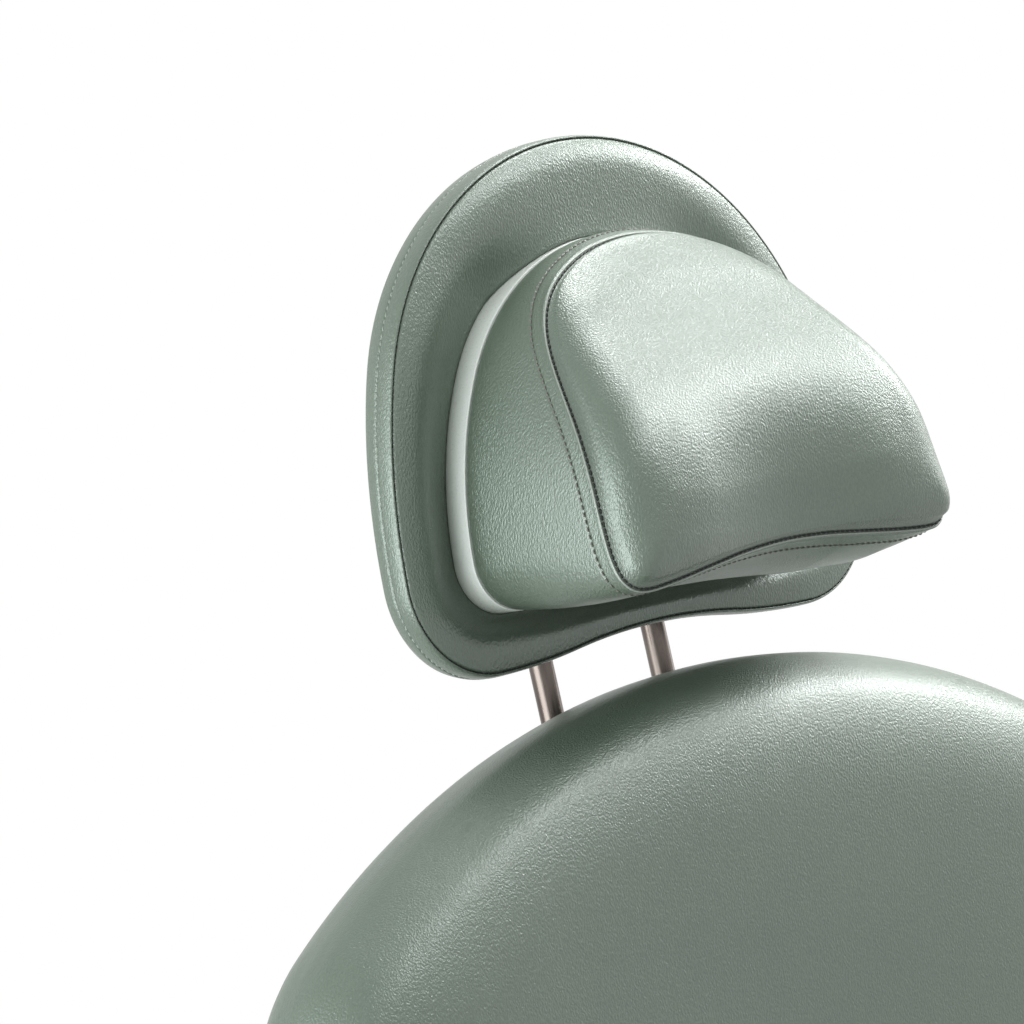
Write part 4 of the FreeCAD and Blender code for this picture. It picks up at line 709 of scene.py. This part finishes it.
class Pad:
    """Closed crowned cushion over an outline, with rolled edges and a sewn seam on its wall."""

    def __init__(self, outline, spine, bottom, top, span, crown, roll, bottom_roll, bulge, swell=None):
        self.outline, self.spine = outline, spine
        self.bottom, self.top, self.span, self.crown = bottom, top, span, crown
        self.roll, self.bottom_roll, self.bulge, self.swell = roll, bottom_roll, bulge, swell

    def level(self, flat):
        centre = (self.spine[0] + self.spine[1]) / 2
        away = (flat[:, 0] ** 2 + (flat[:, 1] - centre) ** 2) / self.span ** 2
        height = self.top - self.crown * away
        return height if self.swell is None else height + self.swell(self.outline, flat)

    def towards_spine(self, ring, share):
        centre = (self.spine[0] + self.spine[1]) / 2
        along = (np.clip(ring[:, 1], *self.spine) - centre) * smoothstep(share / 0.7)
        target = np.column_stack([np.zeros(len(ring)), centre + along])
        return target + (ring - target) * share

    def rear_ring(self, turn, sink):
        """Ring on the rear roll, turned from the rear face towards the wall."""
        r = self.bottom_roll - sink
        back = self.bottom_roll
        level = self.bottom + back - r * math.cos(turn)
        return flat_ring(self.outline.inset(back - r * math.sin(turn)), level)

    def rings(self, seam_share, rear_seam):
        """Rings from the middle of the rear to that of the front, with the seam's ring and facing."""
        out = self.outline
        floor = out.inset(self.bottom_roll)
        rings = [flat_ring(self.towards_spine(floor, share), self.bottom)
                 for share in (0.03, 0.5, 0.9, 1.0)]
        across = np.column_stack([out.normals, np.zeros(len(out.normals))])
        seam = facing = None
        for degrees in (9, 18, 27, 36, 45, 54, 63, 72, 81):
            turn = math.radians(degrees)
            if rear_seam and degrees == REAR_SEAM:
                for shift, sink in SEAM_GROOVE:
                    rings.append(self.rear_ring(turn + shift / self.bottom_roll, sink))
                seam = rings[-3]
                facing = across * math.sin(turn) - np.array((0.0, 0.0, math.cos(turn)))
            else:
                rings.append(self.rear_ring(turn, 0.0))
        low = self.bottom + self.bottom_roll
        high = self.level(out.points) - self.roll
        wall = (0.0, 0.2, 0.4, 0.6, 0.8, 1.0)
        for share in wall if rear_seam else sorted(wall + (seam_share,)):
            bulge = self.bulge * math.sin(math.pi * share)
            level = low + (high - low) * share
            if not rear_seam and share == seam_share:
                for shift, sink in SEAM_GROOVE:
                    rings.append(flat_ring(out.inset(sink - bulge), level + shift))
                seam, facing = rings[-3], across
            else:
                rings.append(flat_ring(out.inset(-bulge), level))
        for turn in np.radians((10, 20, 30, 40, 50, 60, 70, 80, 90)):
            flat = out.inset(self.roll * (1 - math.cos(turn)))
            rings.append(np.column_stack([flat, self.level(flat) - self.roll * (1 - math.sin(turn))]))
        inner = out.inset(self.roll)
        for share in np.linspace(1.0, 0.0, 40)[1:-1]:
            flat = self.towards_spine(inner, share)
            rings.append(np.column_stack([flat, self.level(flat)]))
        return rings, seam, facing


# Seam groove: steps along the wall and how far each sinks, and where it lies on a rear roll
SEAM_GROOVE = ((-2.2, 0.0), (-0.8, -0.3), (0.0, 1.7), (0.8, -0.3), (2.2, 0.0))
REAR_SEAM = 45


def dressed_pad(name, pad, place, body, node, seam_share, shift=(0.0, 0.0, 0.0), rear_seam=False):
    """Pad with a dark stitched seam round its wall or its rear roll."""
    rings, seam, facing = pad.rings(seam_share, rear_seam)
    cushion(name, [ring + np.array(shift) for ring in rings], place, body, node)
    outward = place.turned(facing)
    path = place.world(seam + np.array(shift))
    # The seam's near-black stitches are real stitches and also paint the shade of its groove.
    stitches(name + "_seam_stitch", path + outward * 0.7, outward, 4.6, 3.9, 0.7, body,
             MATERIAL["seam_thread_and_groove_shade"])


def back_swell(outline, flat):
    """Fuller rim inside the backrest's roll and a shallow hollow down its middle."""
    depth = outline.depth(flat)
    across = np.clip(1 - (flat[:, 0] / 250.0) ** 2, 0, 1)
    along = smoothstep((flat[:, 1] - 90) / 160) * (1 - smoothstep((flat[:, 1] - 520) / 180))
    rim = 1 - (1 - np.clip((depth - 4.0) / 84.0, 0, 1)) ** 2.6
    return 21.0 * rim - 12.0 * across ** 2 * along


def build_pads():
    back = Pad(Outline(whole(back_half()), 760), (260.0, 520.0), -39.7, 55.0, 346.0, 8.0, 28.0, 46.0, 0.3,
               back_swell)
    dressed_pad("backrest_cover", back, BACK, "back", "back_cushion", 0.0, rear_seam=True)
    seat_points = drawn_in(whole(rounded_half(295.0, 285.0, -310.0, 130.0, 90.0, 45.0)), 8.0, 20.0)
    seat = Pad(Outline(seat_points, 640), (-130.0, 10.0), 460.3, 560.0, 295.0, 12.0, 38.0, 14.0, 4.0)
    dressed_pad("seat_cover", seat, SEAT, "seat", "seat_cushion", 0.9)
    leg_points = drawn_in(whole(rounded_half(235.0, 270.0, -400.0, -30.0, 100.0, 45.0)), 6.0)
    leg = Pad(Outline(leg_points, 560), (-260.0, -170.0), -14.7, 60.0, 270.0, 8.0, 30.0, 12.0, 3.0)
    dressed_pad("legrest_cover", leg, LEG, "leg", "leg_cushion", 0.85)
    foot_points = whole(rounded_half(190.0, 190.0, -470.0, -404.0, 30.0, 30.0))
    foot = Pad(Outline(foot_points, 420), (-437.0, -437.0), -24.7, 52.0, 190.0, 5.0, 16.0, 8.0, 2.0)
    dressed_pad("foot_extension_cover", foot, LEG, "foot_extension", "foot_extension_pad", 0.85)
    arm_points = whole(rounded_half(40.0, 40.0, -320.0, 45.0, 36.0, 36.0))
    arm = Pad(Outline(arm_points, 420), (-280.0, 5.0), 730.3, 775.0, 182.5, 5.0, 16.0, 8.0, 1.5)
    for side, sign in (("right", 1), ("left", -1)):
        dressed_pad("arm_cover_" + side, arm, SEAT, "arm_" + side, "arm_pad_" + side, 0.5,
                    (sign * 404.0, 0.0, 0.0))


headrest_panel()
head_cushion()
build_pads()


# Stage, light and camera

def background_rays(tree):
    """One for rays that show the background itself, also in metal."""
    rays = tree.nodes.new("ShaderNodeLightPath")
    mirrored = maths(tree, "MAXIMUM", rays.outputs["Is Glossy Ray"], rays.outputs["Is Transmission Ray"])
    return maths(tree, "MAXIMUM", rays.outputs["Is Camera Ray"], mirrored)


def stage_floor():
    """Pale floor that keeps the shadow near the chair and turns white further out."""
    mesh = bpy.data.meshes.new("floor")
    half = 60.0
    corners = [(-half, -half, 0), (half, -half, 0), (half, half, 0), (-half, half, 0)]
    mesh.from_pydata(corners, [], [(0, 1, 2, 3)])
    floor = bpy.data.objects.new("floor", mesh)
    bpy.context.scene.collection.objects.link(floor)
    material, tree, shader = new_material("floor")
    shader.inputs["Base Color"].default_value = (0.86, 0.86, 0.85, 1.0)
    shader.inputs["Roughness"].default_value = 0.8
    glow = tree.nodes.new("ShaderNodeEmission")
    glow.inputs["Color"].default_value = (1.0, 1.0, 1.0, 1.0)
    reach = tree.nodes.new("ShaderNodeVectorMath")
    reach.operation = "LENGTH"
    tree.links.new(object_coordinates(tree), reach.inputs[0])
    far = ranged(tree, reach.outputs["Value"], 0.7, 2.2, 0.0, 1.0)
    mix = tree.nodes.new("ShaderNodeMixShader")
    tree.links.new(maths(tree, "MULTIPLY", background_rays(tree), far), mix.inputs["Fac"])
    tree.links.new(shader.outputs["BSDF"], mix.inputs[1])
    tree.links.new(glow.outputs["Emission"], mix.inputs[2])
    tree.links.new(mix.outputs["Shader"], tree.nodes["Material Output"].inputs["Surface"])
    mesh.materials.append(material)


def world_light():
    """White to the camera and in reflections of the far room, dimmer as light on the chair."""
    world = bpy.data.worlds.new("studio")
    bpy.context.scene.world = world
    world.use_nodes = True
    tree = world.node_tree
    plain = tree.nodes["Background"]
    plain.inputs["Color"].default_value = (0.97, 0.99, 1.0, 1.0)
    plain.inputs["Strength"].default_value = 0.08
    white = tree.nodes.new("ShaderNodeBackground")
    white.inputs["Color"].default_value = (1.0, 1.0, 1.0, 1.0)
    mix = tree.nodes.new("ShaderNodeMixShader")
    tree.links.new(background_rays(tree), mix.inputs["Fac"])
    tree.links.new(plain.outputs["Background"], mix.inputs[1])
    tree.links.new(white.outputs["Background"], mix.inputs[2])
    tree.links.new(mix.outputs["Shader"], tree.nodes["World Output"].inputs["Surface"])


def softbox(name, turn, rise, width, height, power, colour=(1.0, 1.0, 1.0)):
    """Soft lamp at an azimuth and elevation round the headrest."""
    light = bpy.data.lights.new(name, "AREA")
    light.shape = "RECTANGLE"
    light.size, light.size_y = width, height
    light.energy = power
    light.color = colour
    level, steep = math.radians(turn), math.radians(rise)
    away = Vector((math.cos(level) * math.cos(steep), math.sin(level) * math.cos(steep), math.sin(steep)))
    lamp = bpy.data.objects.new(name, light)
    lamp.location = Vector(LAMP_TARGET) + LAMP_REACH * away
    lamp.rotation_mode = "QUATERNION"
    lamp.rotation_quaternion = (-away).to_track_quat("-Z", "Y")
    lamp.visible_camera = False
    bpy.context.scene.collection.objects.link(lamp)


def photo_camera():
    turn, rise = math.radians(CAMERA_TURN), math.radians(CAMERA_RISE)
    look = np.array((math.sin(turn) * math.cos(rise), math.cos(turn) * math.cos(rise), -math.sin(rise)))
    right = np.array((math.cos(turn), -math.sin(turn), 0.0))
    up = np.cross(right, look)
    place = HEAD.origin * 0.001 - CAMERA_DISTANCE * look
    aside = (IMAGE_PIXELS / 2 - HEADREST_PIXEL[0]) / FOCAL_PIXELS
    above = (HEADREST_PIXEL[1] - IMAGE_PIXELS / 2) / FOCAL_PIXELS
    aim = look + right * aside + up * above
    data = bpy.data.cameras.new("camera")
    data.sensor_width = SENSOR
    data.lens = FOCAL_PIXELS / IMAGE_PIXELS * SENSOR
    data.clip_start, data.clip_end = 0.05, 200.0
    camera = bpy.data.objects.new("camera", data)
    camera.location = place
    camera.rotation_mode = "QUATERNION"
    camera.rotation_quaternion = Vector(aim).to_track_quat("-Z", "Y")
    bpy.context.scene.collection.objects.link(camera)
    bpy.context.scene.camera = camera


stage_floor()
world_light()
softbox("right_high", 40.0, 55.0, 1.0, 1.0, 46.0)
softbox("right", 0.0, 32.0, 1.0, 1.0, 53.0)
softbox("right_low", 0.0, 8.0, 1.0, 1.0, 8.0)
softbox("left", 172.0, 4.0, 2.2, 2.2, 82.0, (0.95, 0.99, 1.0))
softbox("front_high", 310.0, 62.0, 1.0, 1.0, 28.0)
photo_camera()
bpy.context.scene.view_settings.view_transform = "Standard"
